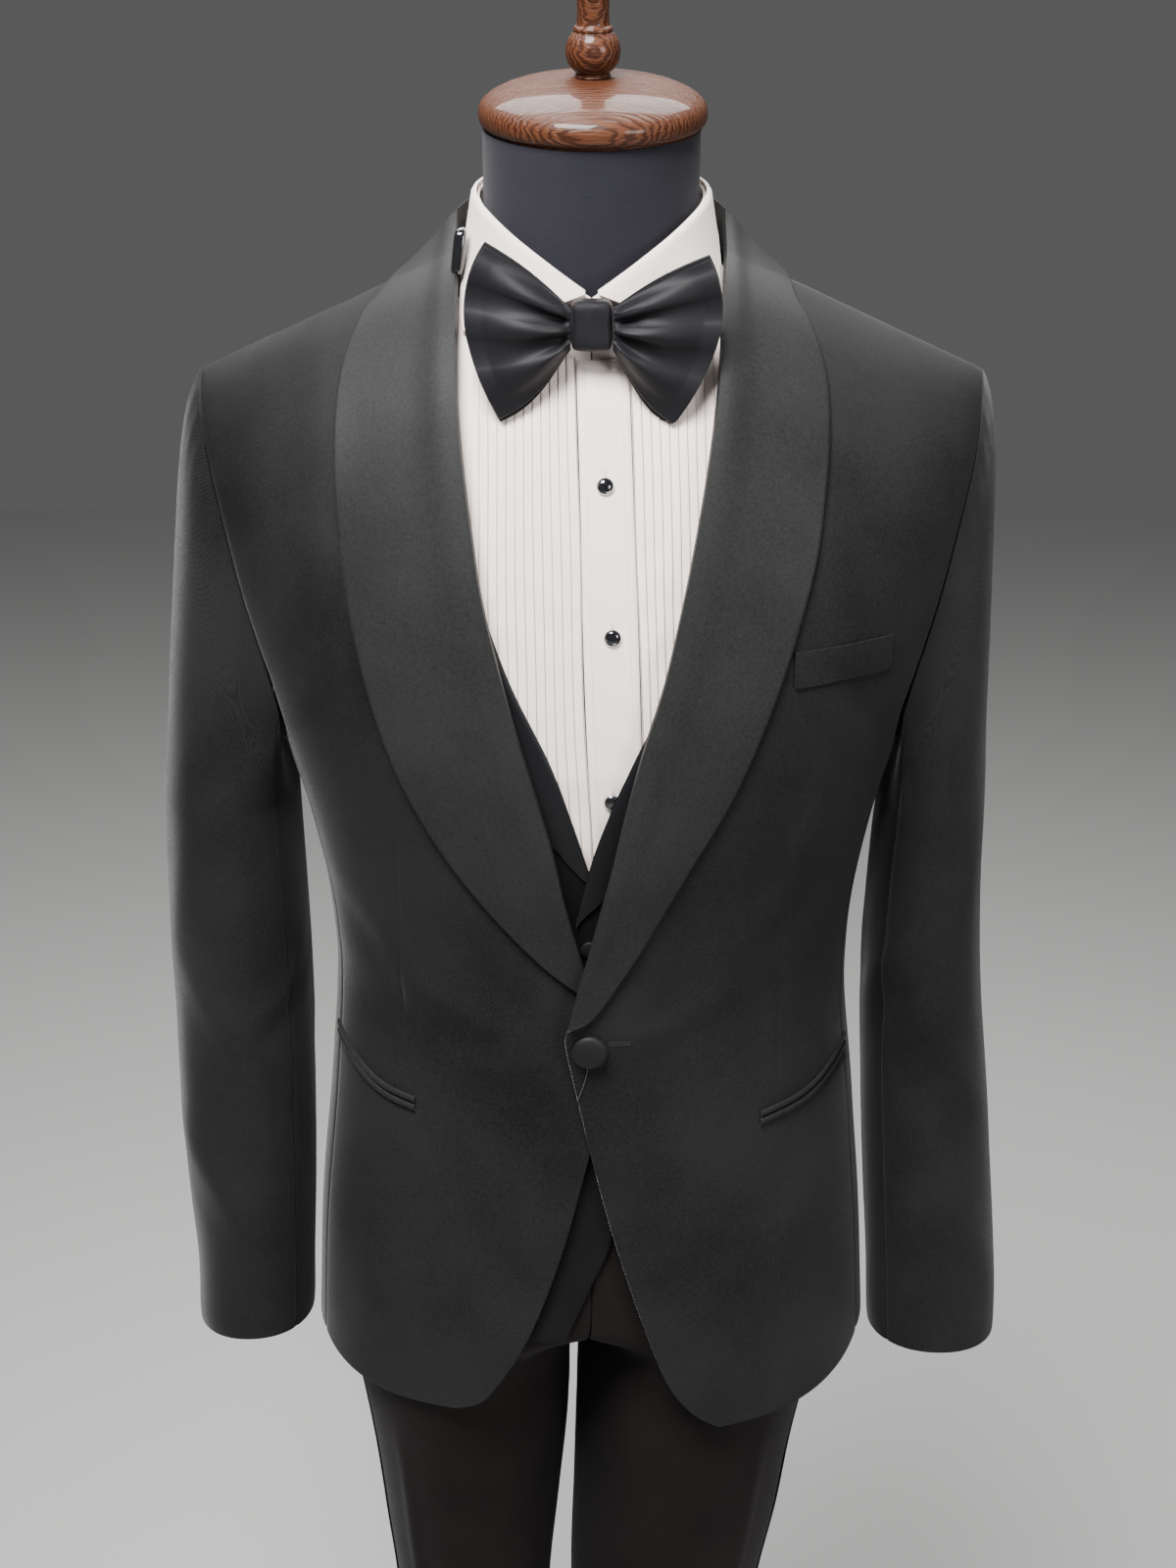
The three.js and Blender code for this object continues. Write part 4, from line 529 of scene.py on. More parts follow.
def wall(name, outer, inner, tube=False):
    """A closed cloth wall between an outer and an inner grid, with folded edges and a UV map in metres."""
    outer, inner = np.array(outer, float), np.array(inner, float)
    rows, cols = outer.shape[:2]
    size = rows * cols
    ground = np.arange(size).reshape(rows, cols)
    if tube:
        borders = [ground[0], ground[-1][::-1]]
    else:
        borders = [np.concatenate([ground[0], ground[1:, -1], ground[-1, -2::-1], ground[-2:0:-1, 0]])]
    reach = np.linalg.norm(outer - inner, axis=-1).mean() / 2
    flat_outer, flat_inner = outer.reshape(-1, 3), inner.reshape(-1, 3)
    middles = [(flat_outer[border] + flat_inner[border]) / 2 for border in borders]
    points = np.concatenate([drawn_in(outer, reach, tube).reshape(-1, 3),
                             drawn_in(inner, reach, tube).reshape(-1, 3), *middles])
    faces = grid_faces(rows, cols, round_=tube)
    faces += grid_faces(rows, cols, start=size, round_=tube, flip=True)
    middle = 2 * size
    for border in borders:
        count = len(border)
        for i in range(count):
            a, b, m, n = border[i], border[(i + 1) % count], middle + i, middle + (i + 1) % count
            faces += [(a, m, n, b), (m, a + size, b + size, n)]
        middle += count
    across, along = lengths_along(outer, 1), lengths_along(outer, 0)
    uvs = np.stack([across, along], 2).reshape(-1, 2)
    made = mesh_object(name, points, [tuple(map(int, face)) for face in faces],
                       np.concatenate([uvs, uvs, *[uvs[border] for border in borders]]))
    if signed_volume(made) < 0:
        made.data.flip_normals()
    return made


def signed_volume(piece):
    piece.data.calc_loop_triangles()
    points = np.array([v.co for v in piece.data.vertices])
    corner = points[np.array([t.vertices for t in piece.data.loop_triangles])]
    return float(np.einsum("ij,ij->i", corner[:, 0], np.cross(corner[:, 1], corner[:, 2])).sum())


shirt_cotton = woven("shirt_cotton", (0.93, 0.79, 0.72), (0.98, 0.875, 0.81), 0.72, 0.35, 0.05, sheen=0.2,
                     twill=False, specular=0.3, cloud_mm=140, slub=0.5)

SHIRT = (-9.9, -10.9)
SHIRT_BACK = (-10.8, -11.8)
PLACKET = (-8.4, -9.6)
TUCK_HEIGHT = 0.9
SHIRT_HEM = 1134
NECK_FRONT_Z = 1523
NECK_SIDE_X = 79
TUCKS = 12
BIB_OUTER = {"left": 86, "right": 69}
LINING_TOP = 1499.5
PLACKET_LINE = table(
    "z left right",
    (1132, 5, 39), (1229, 1.5, 33), (1306, -2.5, 29), (1374, -5, 26.6), (1438, -6.5, 24.2), (1523, -10, 22))
SHIRT_ARMHOLE = table("level theta", (1262, 90), (1268, 76), (1285, 67), (1320, 61), (1370, 58), (1500, 56))
SIDES = (("right", -1), ("left", 1))


def shirt_neck_z(x):
    share = np.clip(np.abs(x) / NECK_SIDE_X, 0, 1)
    return mix(NECK_FRONT_Z, ridge_height(NECK_SIDE_X), share**2.2)


TUCK_PROFILE = [(0.0, 1.1), (0.05, 0.95), (0.09, -0.82), (0.14, -0.82), (0.2, 0.25), (0.55, 0.6), (0.92, 1.1)]
TUCK_GROOVE = 3
tuck_lines = {}


def shirt_front(name, sign):
    """One front: the bib in tucks beside the placket, then plain cloth to the side seam and armhole."""
    heights = np.linspace(0, 1, 120)
    tuck = np.array([(i + at) / TUCKS for i in range(TUCKS) for at, _ in TUCK_PROFILE] + [1.0])
    raised = np.array([rise for _ in range(TUCKS) for _, rise in TUCK_PROFILE] + [0.0])
    raised[0] = 0
    outer, inner = [], []
    column = "right" if sign > 0 else "left"
    for w in heights:
        guess = mix(read(PLACKET_LINE, "z", column, mix(SHIRT_HEM, NECK_FRONT_Z, w)) * sign + 0.4,
                    BIB_OUTER[name], tuck)
        z = mix(SHIRT_HEM, shirt_neck_z(guess), w)
        x = mix(read(PLACKET_LINE, "z", column, z) * sign + 0.4, BIB_OUTER[name], tuck)
        x = x + 0.25 * np.sin(z / 23 + 5 * tuck)
        theta, level = on_front(x, z)
        ripple = 0.3 * np.sin(z / 4.7 + 2.1 * np.sin(x / 9 + z / 37)) * (0.3 + 0.7 * np.sin(z / 61 + x / 40) ** 2)
        lift = np.concatenate([raised * TUCK_HEIGHT + ripple, np.zeros(14)])
        seam_level = mix(SHIRT_HEM, LINING_TOP, w)
        seam = 90.0 if seam_level <= 1262 else float(read(SHIRT_ARMHOLE, "level", "theta", seam_level))
        share = np.arange(1, 15) / 14
        plain_theta = mix(theta[-1], seam - 0.1, share)
        plain_level = np.minimum(mix(level[-1], seam_level, share), LINING_TOP)
        all_theta = np.concatenate([theta, plain_theta]) * sign
        all_level = np.concatenate([level, plain_level])
        outer.append(skin(all_theta, all_level, SHIRT[0] + lift))
        inner.append(skin(all_theta, all_level, SHIRT[1]))
    seen = np.array(outer)[heights > 0.2]
    tuck_lines[name] = [seen[:, i * len(TUCK_PROFILE) + TUCK_GROOVE] - np.array([0, 0.3, 0]) for i in range(TUCKS)]
    return wall(f"shirt_bib_{name}", outer, inner)


def whole_back(levels, rise, columns, start, neck, dip, top, armhole, base, hem_centre=None):
    """Rows of theta and level for a back in one piece, from side seam to side seam."""
    theta_rows, level_rows = [], []
    for level in levels:
        theta_rows.append(mix(start, 180, columns))
        drop = 0 if hem_centre is None else (levels[0] - hem_centre) * (1 - smooth((level - levels[0]) / 250))
        level_rows.append(level - drop * columns)
    for climb in rise:
        up = mix(base, top, climb)
        theta = mix(armhole(up), 180, columns)
        into = np.clip((theta - neck) / (180 - neck), 0, 1)
        ridge = top - dip * np.sin(into * np.pi / 2)
        theta_rows.append(theta)
        level_rows.append(mix(base, ridge, climb))
    theta, level = np.array(theta_rows), np.array(level_rows)
    theta = np.concatenate([theta, (360 - theta)[:, -2::-1]], 1)
    level = np.concatenate([level, level[:, -2::-1]], 1)
    return theta, level


for side_name, side_sign in SIDES:
    front = shirt_front(side_name, side_sign)
    finish_piece(front, shirt_cotton, "shirt_cotton", f"shirt_front_{side_name}")

theta, level = whole_back(
    np.linspace(SHIRT_HEM, 1262, 12), np.linspace(0.02, 1, 26), np.linspace(0, 1, 30), 90.1, 165.8, 72,
    LINING_TOP, lambda at: 180 - float(read(SHIRT_ARMHOLE, "level", "theta", at)) + 0.1, 1262)
shirt_back = wall("shirt_back_piece", skin(theta, level, SHIRT_BACK[0]), skin(theta, level, SHIRT_BACK[1]))
finish_piece(shirt_back, shirt_cotton, "shirt_cotton", "shirt_back")

placket_rows = np.linspace(SHIRT_HEM, 1521, 90)[:, None]
placket_share = np.linspace(0, 1, 13)[None, :]
placket_x = mix(read(PLACKET_LINE, "z", "left", placket_rows), read(PLACKET_LINE, "z", "right", placket_rows),
                placket_share)
theta, level = on_front(placket_x, placket_rows + 0 * placket_share)
puckers = 0.16 * np.sin(placket_rows / 4.1 + placket_x / 7) * np.exp(-((placket_share - 0.5) / 0.45) ** 8)
placket = wall("placket", skin(theta, level, PLACKET[0] + puckers), skin(theta, level, PLACKET[1]))

# Stitches: every sewn line is short thread beads set along a path by one Geometry Nodes group.


def stitch_group():
    group = bpy.data.node_groups.new("stitches", "GeometryNodeTree")
    group.interface.new_socket("Path", in_out="INPUT", socket_type="NodeSocketGeometry")
    for label, value in (("Pitch", 0.0024), ("Length", 0.0009), ("Thickness", 0.00022), ("Turn", 0.0)):
        made = group.interface.new_socket(label, in_out="INPUT", socket_type="NodeSocketFloat")
        made.default_value = value
    group.interface.new_socket("Material", in_out="INPUT", socket_type="NodeSocketMaterial")
    group.interface.new_socket("Stitches", in_out="OUTPUT", socket_type="NodeSocketGeometry")
    start, end = group.nodes.new("NodeGroupInput"), group.nodes.new("NodeGroupOutput")
    curve = group.nodes.new("GeometryNodeMeshToCurve")
    spaced = group.nodes.new("GeometryNodeResampleCurve")
    spaced.mode = "LENGTH"
    points = group.nodes.new("GeometryNodeCurveToPoints")
    points.mode = "EVALUATED"
    bead = group.nodes.new("GeometryNodeMeshIcoSphere")
    bead.inputs["Subdivisions"].default_value = 1
    bead.inputs["Radius"].default_value = 1
    size = group.nodes.new("ShaderNodeCombineXYZ")
    turn = group.nodes.new("ShaderNodeCombineXYZ")
    turned_ = group.nodes.new("FunctionNodeRotateRotation")
    turned_.rotation_space = "LOCAL"
    set_down = group.nodes.new("GeometryNodeInstanceOnPoints")
    real = group.nodes.new("GeometryNodeRealizeInstances")
    coloured = group.nodes.new("GeometryNodeSetMaterial")
    link = group.links.new
    link(start.outputs["Path"], curve.inputs["Mesh"])
    link(curve.outputs["Curve"], spaced.inputs["Curve"])
    link(start.outputs["Pitch"], spaced.inputs["Length"])
    link(spaced.outputs["Curve"], points.inputs["Curve"])
    link(start.outputs["Thickness"], size.inputs["X"])
    link(start.outputs["Thickness"], size.inputs["Y"])
    link(start.outputs["Length"], size.inputs["Z"])
    link(start.outputs["Turn"], turn.inputs["X"])
    link(points.outputs["Rotation"], turned_.inputs["Rotation"])
    link(turn.outputs["Vector"], turned_.inputs["Rotate By"])
    link(points.outputs["Points"], set_down.inputs["Points"])
    link(bead.outputs["Mesh"], set_down.inputs["Instance"])
    link(turned_.outputs["Rotation"], set_down.inputs["Rotation"])
    link(size.outputs["Vector"], set_down.inputs["Scale"])
    link(set_down.outputs["Instances"], real.inputs["Geometry"])
    link(real.outputs["Geometry"], coloured.inputs["Geometry"])
    link(start.outputs["Material"], coloured.inputs["Material"])
    link(coloured.outputs["Geometry"], end.inputs["Stitches"])
    return group


stitches = stitch_group()


def sewn(name, lines, material, pitch, length, thick, across=False):
    """Thread beads along lines of points in millimetres; across turns each bead square to its line."""
    spots, edges = [], []
    for line in lines:
        edges += [(len(spots) + i, len(spots) + i + 1) for i in range(len(line) - 1)]
        spots += [tuple(p) for p in np.asarray(line) * MM]
    path = bpy.data.meshes.new(name + "_path")
    path.from_pydata(spots, edges, [])
    holder = bpy.data.objects.new(name + "_path", path)
    bpy.context.scene.collection.objects.link(holder)
    modifier = holder.modifiers.new("stitches", "NODES")
    modifier.node_group = stitches
    values = {"Pitch": pitch * MM, "Length": length * MM, "Thickness": thick * MM,
              "Turn": math.pi / 2 if across else 0.0, "Material": material}
    for item in stitches.interface.items_tree:
        if item.item_type == "SOCKET" and item.name in values:
            modifier[item.identifier] = values[item.name]
    done = holder.evaluated_get(bpy.context.evaluated_depsgraph_get())
    mesh = bpy.data.meshes.new_from_object(done)
    made = bpy.data.objects.new(name, mesh)
    bpy.context.scene.collection.objects.link(made)
    bpy.data.objects.remove(holder)
    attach(made, "root")
    return made


def thread(name, colour, roughness=0.5):
    material, tree, bsdf = shader(name)
    where = node(tree, "ShaderNodeTexCoord")
    twist = node(tree, "ShaderNodeTexNoise")
    twist.inputs["Scale"].default_value = 2600
    tree.links.new(where.outputs["Object"], twist.inputs["Vector"])
    dark = tuple(c * 0.72 for c in colour)
    tree.links.new(colour_ramp(tree, twist.outputs["Fac"], [(0.3, dark), (0.7, colour)]),
                   bsdf.inputs["Base Color"])
    bsdf.inputs["Roughness"].default_value = roughness
    return material


cotton_thread = thread("cotton_thread", (0.8, 0.77, 0.72))

PLACKET_STITCH_IN = 4.5
placket_z = np.linspace(SHIRT_HEM + 6, 1518, 160)
placket_lines = []
for edge_name, inward in (("left", 1), ("right", -1)):
    line_x = read(PLACKET_LINE, "z", edge_name, placket_z) + inward * PLACKET_STITCH_IN
    theta, level = on_front(line_x, placket_z)
    placket_lines.append(skin(theta, level, PLACKET[0] + 0.12))
placket_stitches = sewn("placket_stitches", placket_lines, cotton_thread, 2.1, 0.85, 0.2)
# Tuck stitches: real stitching down each tuck's groove. Its dark grey colour is painted shade that stands for the
# shadow in the groove.
tuck_shade_thread = thread("tuck_shade_thread", (0.46, 0.42, 0.42))
for side_name, side_sign in SIDES:
    sewn(f"tuck_stitches_{side_name}", tuck_lines[side_name], tuck_shade_thread, 2.4, 2.0, 0.22)
finish_piece(placket, shirt_cotton, "shirt_cotton", "shirt_placket")

# Shirt studs: a black glass dome in a silver rim, its post through a worked buttonhole, the hole's upper end
# just showing over it.
STUDS = [(8, 1454), (12, 1370.5), (12, 1272)]
STUD_RADIUS = 4.6
STUD_SIDES = 48


def placed_on_front(name, profile, x, z, distance, sides, sharp=40):
    """A turned body set square on the trunk's front."""
    piece = turned(name, profile, (0, 0, 0), sides=sides, sharp=sharp)
    theta, level = on_front(x, z)
    seat, above = skin(theta, level, distance), skin(theta, level, distance + 1)
    axis = above - seat
    side = np.cross((0.0, 0.0, 1.0), axis)
    side /= np.linalg.norm(side)
    turn = np.stack([side, np.cross(axis, side), axis], 1)
    points = np.array([v.co for v in piece.data.vertices]) @ turn.T + seat * MM
    piece.data.vertices.foreach_set("co", points.astype(np.float32).ravel())
    piece.data.update()
    return piece


def glass_black(name):
    material, tree, bsdf = shader(name)
    where = node(tree, "ShaderNodeTexCoord")
    haze = node(tree, "ShaderNodeTexNoise")
    haze.inputs["Scale"].default_value = 900
    tree.links.new(where.outputs["Object"], haze.inputs["Vector"])
    tree.links.new(colour_ramp(tree, haze.outputs["Fac"], [(0.3, (0.004, 0.004, 0.005)), (0.7, (0.01, 0.01, 0.012))]),
                   bsdf.inputs["Base Color"])
    bsdf.inputs["Roughness"].default_value = 0.08
    bsdf.inputs["Coat Weight"].default_value = 1
    bsdf.inputs["Coat Roughness"].default_value = 0.03
    return material


def polished_silver(name):
    material, tree, bsdf = shader(name)
    where = node(tree, "ShaderNodeTexCoord")
    haze = node(tree, "ShaderNodeTexNoise")
    haze.inputs["Scale"].default_value = 1400
    tree.links.new(where.outputs["Object"], haze.inputs["Vector"])
    tree.links.new(colour_ramp(tree, haze.outputs["Fac"], [(0.3, (0.5, 0.5, 0.51)), (0.7, (0.72, 0.72, 0.73))]),
                   bsdf.inputs["Base Color"])
    bsdf.inputs["Metallic"].default_value = 1
    bsdf.inputs["Roughness"].default_value = 0.2
    return material


stud_black = glass_black("stud_black")
stud_silver = polished_silver("stud_silver")
hole_lines = []
for number, (x, z) in enumerate(STUDS, 1):
    seat = PLACKET[0] + 0.3
    dome = placed_on_front(f"stud_dome_{number}", [
        (0, 0.7), (3.9, 0.7), (4.05, 1), (3.95, 1.4), (3.4, 1.85), (2.5, 2.2), (1.3, 2.42), (0, 2.5)],
        x, z, seat, STUD_SIDES)
    finish_piece(dome, stud_black, "stud_black", f"stud_{number}")
    rim = placed_on_front(f"stud_rim_{number}", [
        (0, 0), (3.8, 0), (4.4, 0.2), (4.9, 0.7), (4.8, 1.3), (4.5, 1.65), (4.15, 1.68), (4, 1.4),
        (3.9, 0.9), (0, 0.8)], x, z, seat, STUD_SIDES)
    finish_piece(rim, stud_silver, "stud_black", f"stud_{number}")
    for offset in (-0.55, 0.55):
        hole_z = np.linspace(z + 1.5, z + 8.6, 14)
        theta, level = on_front(x + offset, hole_z)
        hole_lines.append(skin(theta, level, PLACKET[0] + 0.1))
stud_holes = sewn("stud_buttonholes", hole_lines, cotton_thread, 0.5, 0.55, 0.22, across=True)

# Shirt collar: a stand round the neck, buttoned in front under the bow, and a leaf folded down over it,
# stitched along its edge.
FOLD = table("beta z", (0, 1551), (30, 1574), (60, 1592), (90, 1602), (130, 1608), (180, 1610))
STAND_BASE = table("beta z", (0, 1511.5), (30, 1520), (60, 1542), (90, 1565.4), (130, 1566.4),
                   (180, 1564.4))
LEAF_EDGE = table(
    "beta angle radius z",
    (5, 52, 91.5, 1529), (25, 57.5, 88, 1536), (50, 69, 80, 1551), (75, 83, 74, 1569),
    (100, 101.5, 73, 1577), (140, 140, 73.4, 1580), (180, 180, 74.6, 1580))
COLLAR_BETAS = np.linspace(3, 357, 132)
LEAF_STITCH_IN = 0.86


def folded(beta):
    return np.where(beta > 180, 360 - beta, beta)


def collar_ring(beta, radius, front, back, z):
    turn = np.radians(beta)
    depth = np.where(np.cos(turn) > 0, front, back)
    return np.stack(np.broadcast_arrays(radius * np.sin(turn), 2 - depth * np.cos(turn), z), -1)


def stand_point(beta, u, out):
    near = folded(beta)
    low = collar_ring(beta, 70 + out, 78 + out, 70 + out, read(STAND_BASE, "beta", "z", near))
    high = collar_ring(beta, 65.6 + out, 73 + out, 70.5 + out, read(FOLD, "beta", "z", near) - 1.4)
    return mix(low, high, np.asarray(u)[..., None])


def leaf_point(beta, u, out):
    near, side = folded(beta), np.where(beta > 180, -1, 1)
    z = read(FOLD, "beta", "z", near)
    angle, radius, low = (read(LEAF_EDGE, "beta", name, near) for name in ("angle", "radius", "z"))
    reach = [mix(size, radius, u) + out for size in (68.6, 76.2, 73.4)]
    drop = mix(z - 1.4, low, u)
    return collar_ring(mix(near, angle, u) * side, *reach, drop)


beta = COLLAR_BETAS[:, None]
stand_beta = np.linspace(0.3, 359.7, 132)[:, None]
stand_share = np.linspace(0, 1, 10)[None, :]
collar_stand = wall("collar_stand", stand_point(stand_beta, stand_share + 0 * stand_beta, 0),
                    stand_point(stand_beta, stand_share + 0 * stand_beta, -1))
finish_piece(collar_stand, shirt_cotton, "shirt_cotton", "shirt_collar_stand")


def leaf_face(out):
    share = np.linspace(0, 1, 22)[None, :]
    top = collar_ring(beta, 66 + out, 73.4 + out, 70.9 + out, read(FOLD, "beta", "z", folded(beta)) + out * 1.2)
    crown = collar_ring(beta, 67.4 + out, 75 + out, 72.3 + out,
                        read(FOLD, "beta", "z", folded(beta)) - 0.4 + out * 0.8)
    return np.concatenate([top, crown, leaf_point(beta + 0 * share, share + 0 * beta, out)], 1)


collar_leaf = wall("collar_leaf", leaf_face(1), leaf_face(0))
finish_piece(collar_leaf, shirt_cotton, "shirt_cotton", "shirt_collar_leaf")
leaf_betas = np.linspace(4, 356, 300)
leaf_stitches = sewn("collar_stitches", [leaf_point(leaf_betas, np.full(300, LEAF_STITCH_IN), 1.12)],
                     cotton_thread, 1.9, 0.75, 0.18)

# Bow tie: a dead black silk bow, made up and sewn: two double wings pleated into a knot, on a strap that runs
# round the stand under the leaf to a small moulded clip.
bow_satin = woven("bow_satin", (0.0035, 0.0032, 0.0043), (0.0105, 0.01, 0.0124), 0.52, 0.3, 0.04, sheen=0.04,
                  sheen_roughness=0.3, twill=True, specular=0.2, cloud_mm=40)
BOW_Y = -92.6
WING = {"right": (58, 1580, 70, 1539, 51, 1486), "left": (64, 1573, 70.5, 1532, 45, 1483)}
WING_ROOT = (11.5, 1525, 1547)
PLEATS = 3


def wing_face(side, front, spread=0.0, back=0.0):
    """One face of a wing; spread widens it past the front layer, back moves it towards the shirt."""
    top_x, top_z, mid_x, mid_z, low_x, low_z = WING[side]
    u, w = np.meshgrid(np.linspace(0, 1, 60), np.linspace(0, 1, 84), indexing="ij")
    t = 2 * w - 1
    outer_x = mix(low_x, top_x, w) + (mid_x - (low_x + top_x) / 2) * (1 - t * t)
    outer_z = mix(low_z - spread, top_z + spread, w) + (mid_z - (low_z + top_z) / 2) * (1 - t * t)
    x = mix(WING_ROOT[0], outer_x, u)
    sag = np.sin(np.pi * u) * (1.5 * w * w - 6 * (1 - w) ** 2) + spread * 0.5 * np.sin(np.pi * u) * t
    z = mix(mix(WING_ROOT[1], WING_ROOT[2], w), outer_z, u) + sag
    fan = (1 - 0.66 * smooth(u / 0.95)) * smooth(u / 0.1)
    wave = np.cos(w * PLEATS * 2 * np.pi)
    pleat = np.sign(wave) * np.abs(wave) ** 0.75 * 3.3 * fan
    pleat += 0.5 * np.cos(w * 2 * np.pi * 7 + 1.3) * np.exp(-((u - 0.16) / 0.14) ** 2)
    puff = 3 + 5 * np.sin(np.pi * np.minimum(u * 1.2, 1)) * (1 - t * t)
    drape = 0.8 * np.sin(u * 6.1 + w * 3.4 + (0.9 if side == "left" else 0)) * np.sin(np.pi * w) * smooth(u / 0.4)
    if front:
        y = BOW_Y + 3 * u - puff + pleat + drape + back
    else:
        y = BOW_Y + 3 * u + 1.5 + pleat * 0.4 + back
    sign = -1 if side == "right" else 1
    return np.stack([sign * x, y, z], -1)


for side_name, side_sign in SIDES:
    wing = wall(f"bow_front_{side_name}", wing_face(side_name, True), wing_face(side_name, False))
    finish_piece(wing, bow_satin, "bow_satin", f"bow_wing_{side_name}")
    rear_outer = wing_face(side_name, False, 2.2, 0.3)
    rear = wall(f"bow_rear_{side_name}", rear_outer, rear_outer + np.array([0, 0.9, 0]))
    finish_piece(rear, bow_satin, "bow_satin", f"bow_wing_{side_name}")

KNOT_Y = -88.7
knot_turn = np.arange(72) / 72 * 2 * np.pi
knot_rings = []
for share in np.linspace(0, 1, 34):
    z = mix(1524.5, 1550.5, share)
    end = np.sqrt(np.clip(1 - np.abs(2 * share - 1) ** 7, 0, 1))
    half = mix(9.3, 11, end) + 0.25 * np.sin(share * 9)
    ahead = np.cos(knot_turn) > 0
    deep = np.where(ahead, mix(5.6, 9.2, end), mix(8.6, 12.2, end))
    x = half * signed_power(np.sin(knot_turn), 0.5)
    creases = 0.55 * np.cos(x / 1.9 + 0.4 * np.sin(share * 5)) * end * ahead
    y = KNOT_Y - (deep + creases * 0.6) * signed_power(np.cos(knot_turn), 0.5)
    knot_rings.append(np.stack([x, y, np.full_like(x, z) + 0.5 * np.cos(x / 7) * (2 * share - 1)], 1))
bow_knot = ring_solid("bow_knot_cloth", knot_rings)
finish_piece(bow_knot, bow_satin, "bow_satin", "bow_knot")

band_share = np.linspace(0.3, 0.72, 6)[None, :]
neckband = wall("bow_strap", stand_point(beta, band_share + 0 * beta, 1.2),
                stand_point(beta, band_share + 0 * beta, 0.5))
finish_piece(neckband, bow_satin, "bow_satin", "bow_neckband")

# Clip: the strap's moulded slider, glossy black, that stands out beside the collar on the wearer's right.
CLIP_PLACE = (-75.5, -28, 1570)
CLIP_HALF = (3.8, 6.5, 13.5)
clip_turn = np.arange(40) / 40 * 2 * np.pi
clip_rings = []
for share in np.linspace(-1, 1, 15):
    size = (1 - abs(share) ** 5) ** 0.4 * 0.75 + 0.25
    x = CLIP_PLACE[0] + CLIP_HALF[0] * size * signed_power(np.cos(clip_turn), 0.6) + 1.6 * share
    y = CLIP_PLACE[1] + CLIP_HALF[1] * size * signed_power(np.sin(clip_turn), 0.6) + 1.2 * share
    clip_rings.append(np.stack([x, y, np.full_like(x, CLIP_PLACE[2] + CLIP_HALF[2] * share)], 1))
clip = ring_solid("bow_clip", clip_rings)
clip.data.materials.clear()
clip.data.materials.append(stud_black)
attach(clip, "root")

# Trousers: fronts and backs with a pressed crease down each, a satin stripe over each outseam, the fork under
# the waistcoat, and a plain band that sits inside the waistcoat.
trouser_wool = woven("trouser_wool", (0.0024, 0.0018, 0.0018), (0.0105, 0.0078, 0.0076), 0.7, 0.55, 0.07,
                     sheen=0.03, sheen_roughness=0.4, specular=0.06, melange=0.5)
stripe_satin = woven("stripe_satin", (0.006, 0.0042, 0.0038), (0.012, 0.009, 0.0085), 0.5, 0.28, 0.02, sheen=0.04,
                     specular=0.2)
TROUSER = table(
    "z middle left right leftIn rightIn front back exponent",
    (40, -24, 106, 128, 5, 27, 60, 62, 2.1), (300, -24, 111, 133, 1, 30, 66, 68, 2.1),
    (500, -24, 115, 137, 8, 32, 74, 76, 2.1), (619, -23, 119, 139, 14.5, 30, 84, 84, 2.1),
    (700, -18, 132.5, 146, 12.5, 22.5, 95, 94, 2.1), (770, -13.5, 142, 153, 10.5, 16, 105, 105, 2.15),
    (841, -10, 157, 164, 8, 13, 114, 110, 2.15), (880, -4, 170, 172, 3.65, 4.35, 121, 117, 2.2),
    (915, 0, 173, 173, 0, 0, 123.5, 123, 2.4), (950, 0, 171, 171, 0, 0, 122, 122, 2.4),
    (1054, 0, 160, 160, 0, 0, 116, 106, 2.4), (1104, 0, 155, 155, 0, 0, 114, 99, 2.4))
FORK_Z = 870
HIP_Z = 912
FORK_CURVE = 2.3
TROUSER_WALL = 1.5
STRIPE_TOP = 955
INSIDE_GAP = 0.35


def leg_point(name, sign, turn, z):
    outer, middle = read(TROUSER, "z", name, z), read(TROUSER, "z", "middle", z)
    joined = np.clip((z - FORK_Z) / (HIP_Z - FORK_Z), 0, 1) ** FORK_CURVE
    below = (-1 if name == "left" else 1) * read(TROUSER, "z", name + "In", z)
    inner = np.where(z < FORK_Z, below, mix(middle * sign + INSIDE_GAP, -outer + 2 * middle * sign, joined))
    centre, half = (outer + inner) / 2, (outer - inner) / 2
    depth = np.where(turn > 0, read(TROUSER, "z", "front", z), read(TROUSER, "z", "back", z))
    power = 2 / read(TROUSER, "z", "exponent", z)
    x = centre + half * signed_power(np.cos(np.radians(turn)), power)
    y = -depth * signed_power(np.sin(np.radians(turn)), power)
    return np.stack([sign * x, y, z + 0 * x], -1)


def inside_turn(name, sign, z):
    """The turn at which a ring reaches the plane between the legs, or the inseam below the fork."""
    plane = read(TROUSER, "z", "middle", z) * sign + INSIDE_GAP
    low, high = np.full_like(z, 80.0), np.full_like(z, 180.0)
    for _ in range(30):
        mid = (low + high) / 2
        beyond = leg_point(name, sign, mid, z)[..., 0] * sign > plane
        low, high = np.where(beyond, mid, low), np.where(beyond, high, mid)
    return np.minimum(low, 179.8)


def leg_grid(name, sign, turn, z, distance):
    turn, z = np.broadcast_arrays(turn, z)
    here = leg_point(name, sign, turn, z)
    round_ = leg_point(name, sign, turn + 0.8, z) - leg_point(name, sign, turn - 0.8, z)
    up = leg_point(name, sign, turn, np.minimum(z + 2, 1104)) - leg_point(name, sign, turn, z - 2)
    normal = np.cross(round_, up)
    normal /= np.linalg.norm(normal, axis=-1, keepdims=True)
    out = np.stack([sign * np.cos(np.radians(turn)), -np.sin(np.radians(turn)), 0 * turn], -1)
    normal *= np.where((normal * out).sum(-1) < 0, -1, 1)[..., None]
    return here + normal * np.broadcast_to(distance, turn.shape)[..., None]


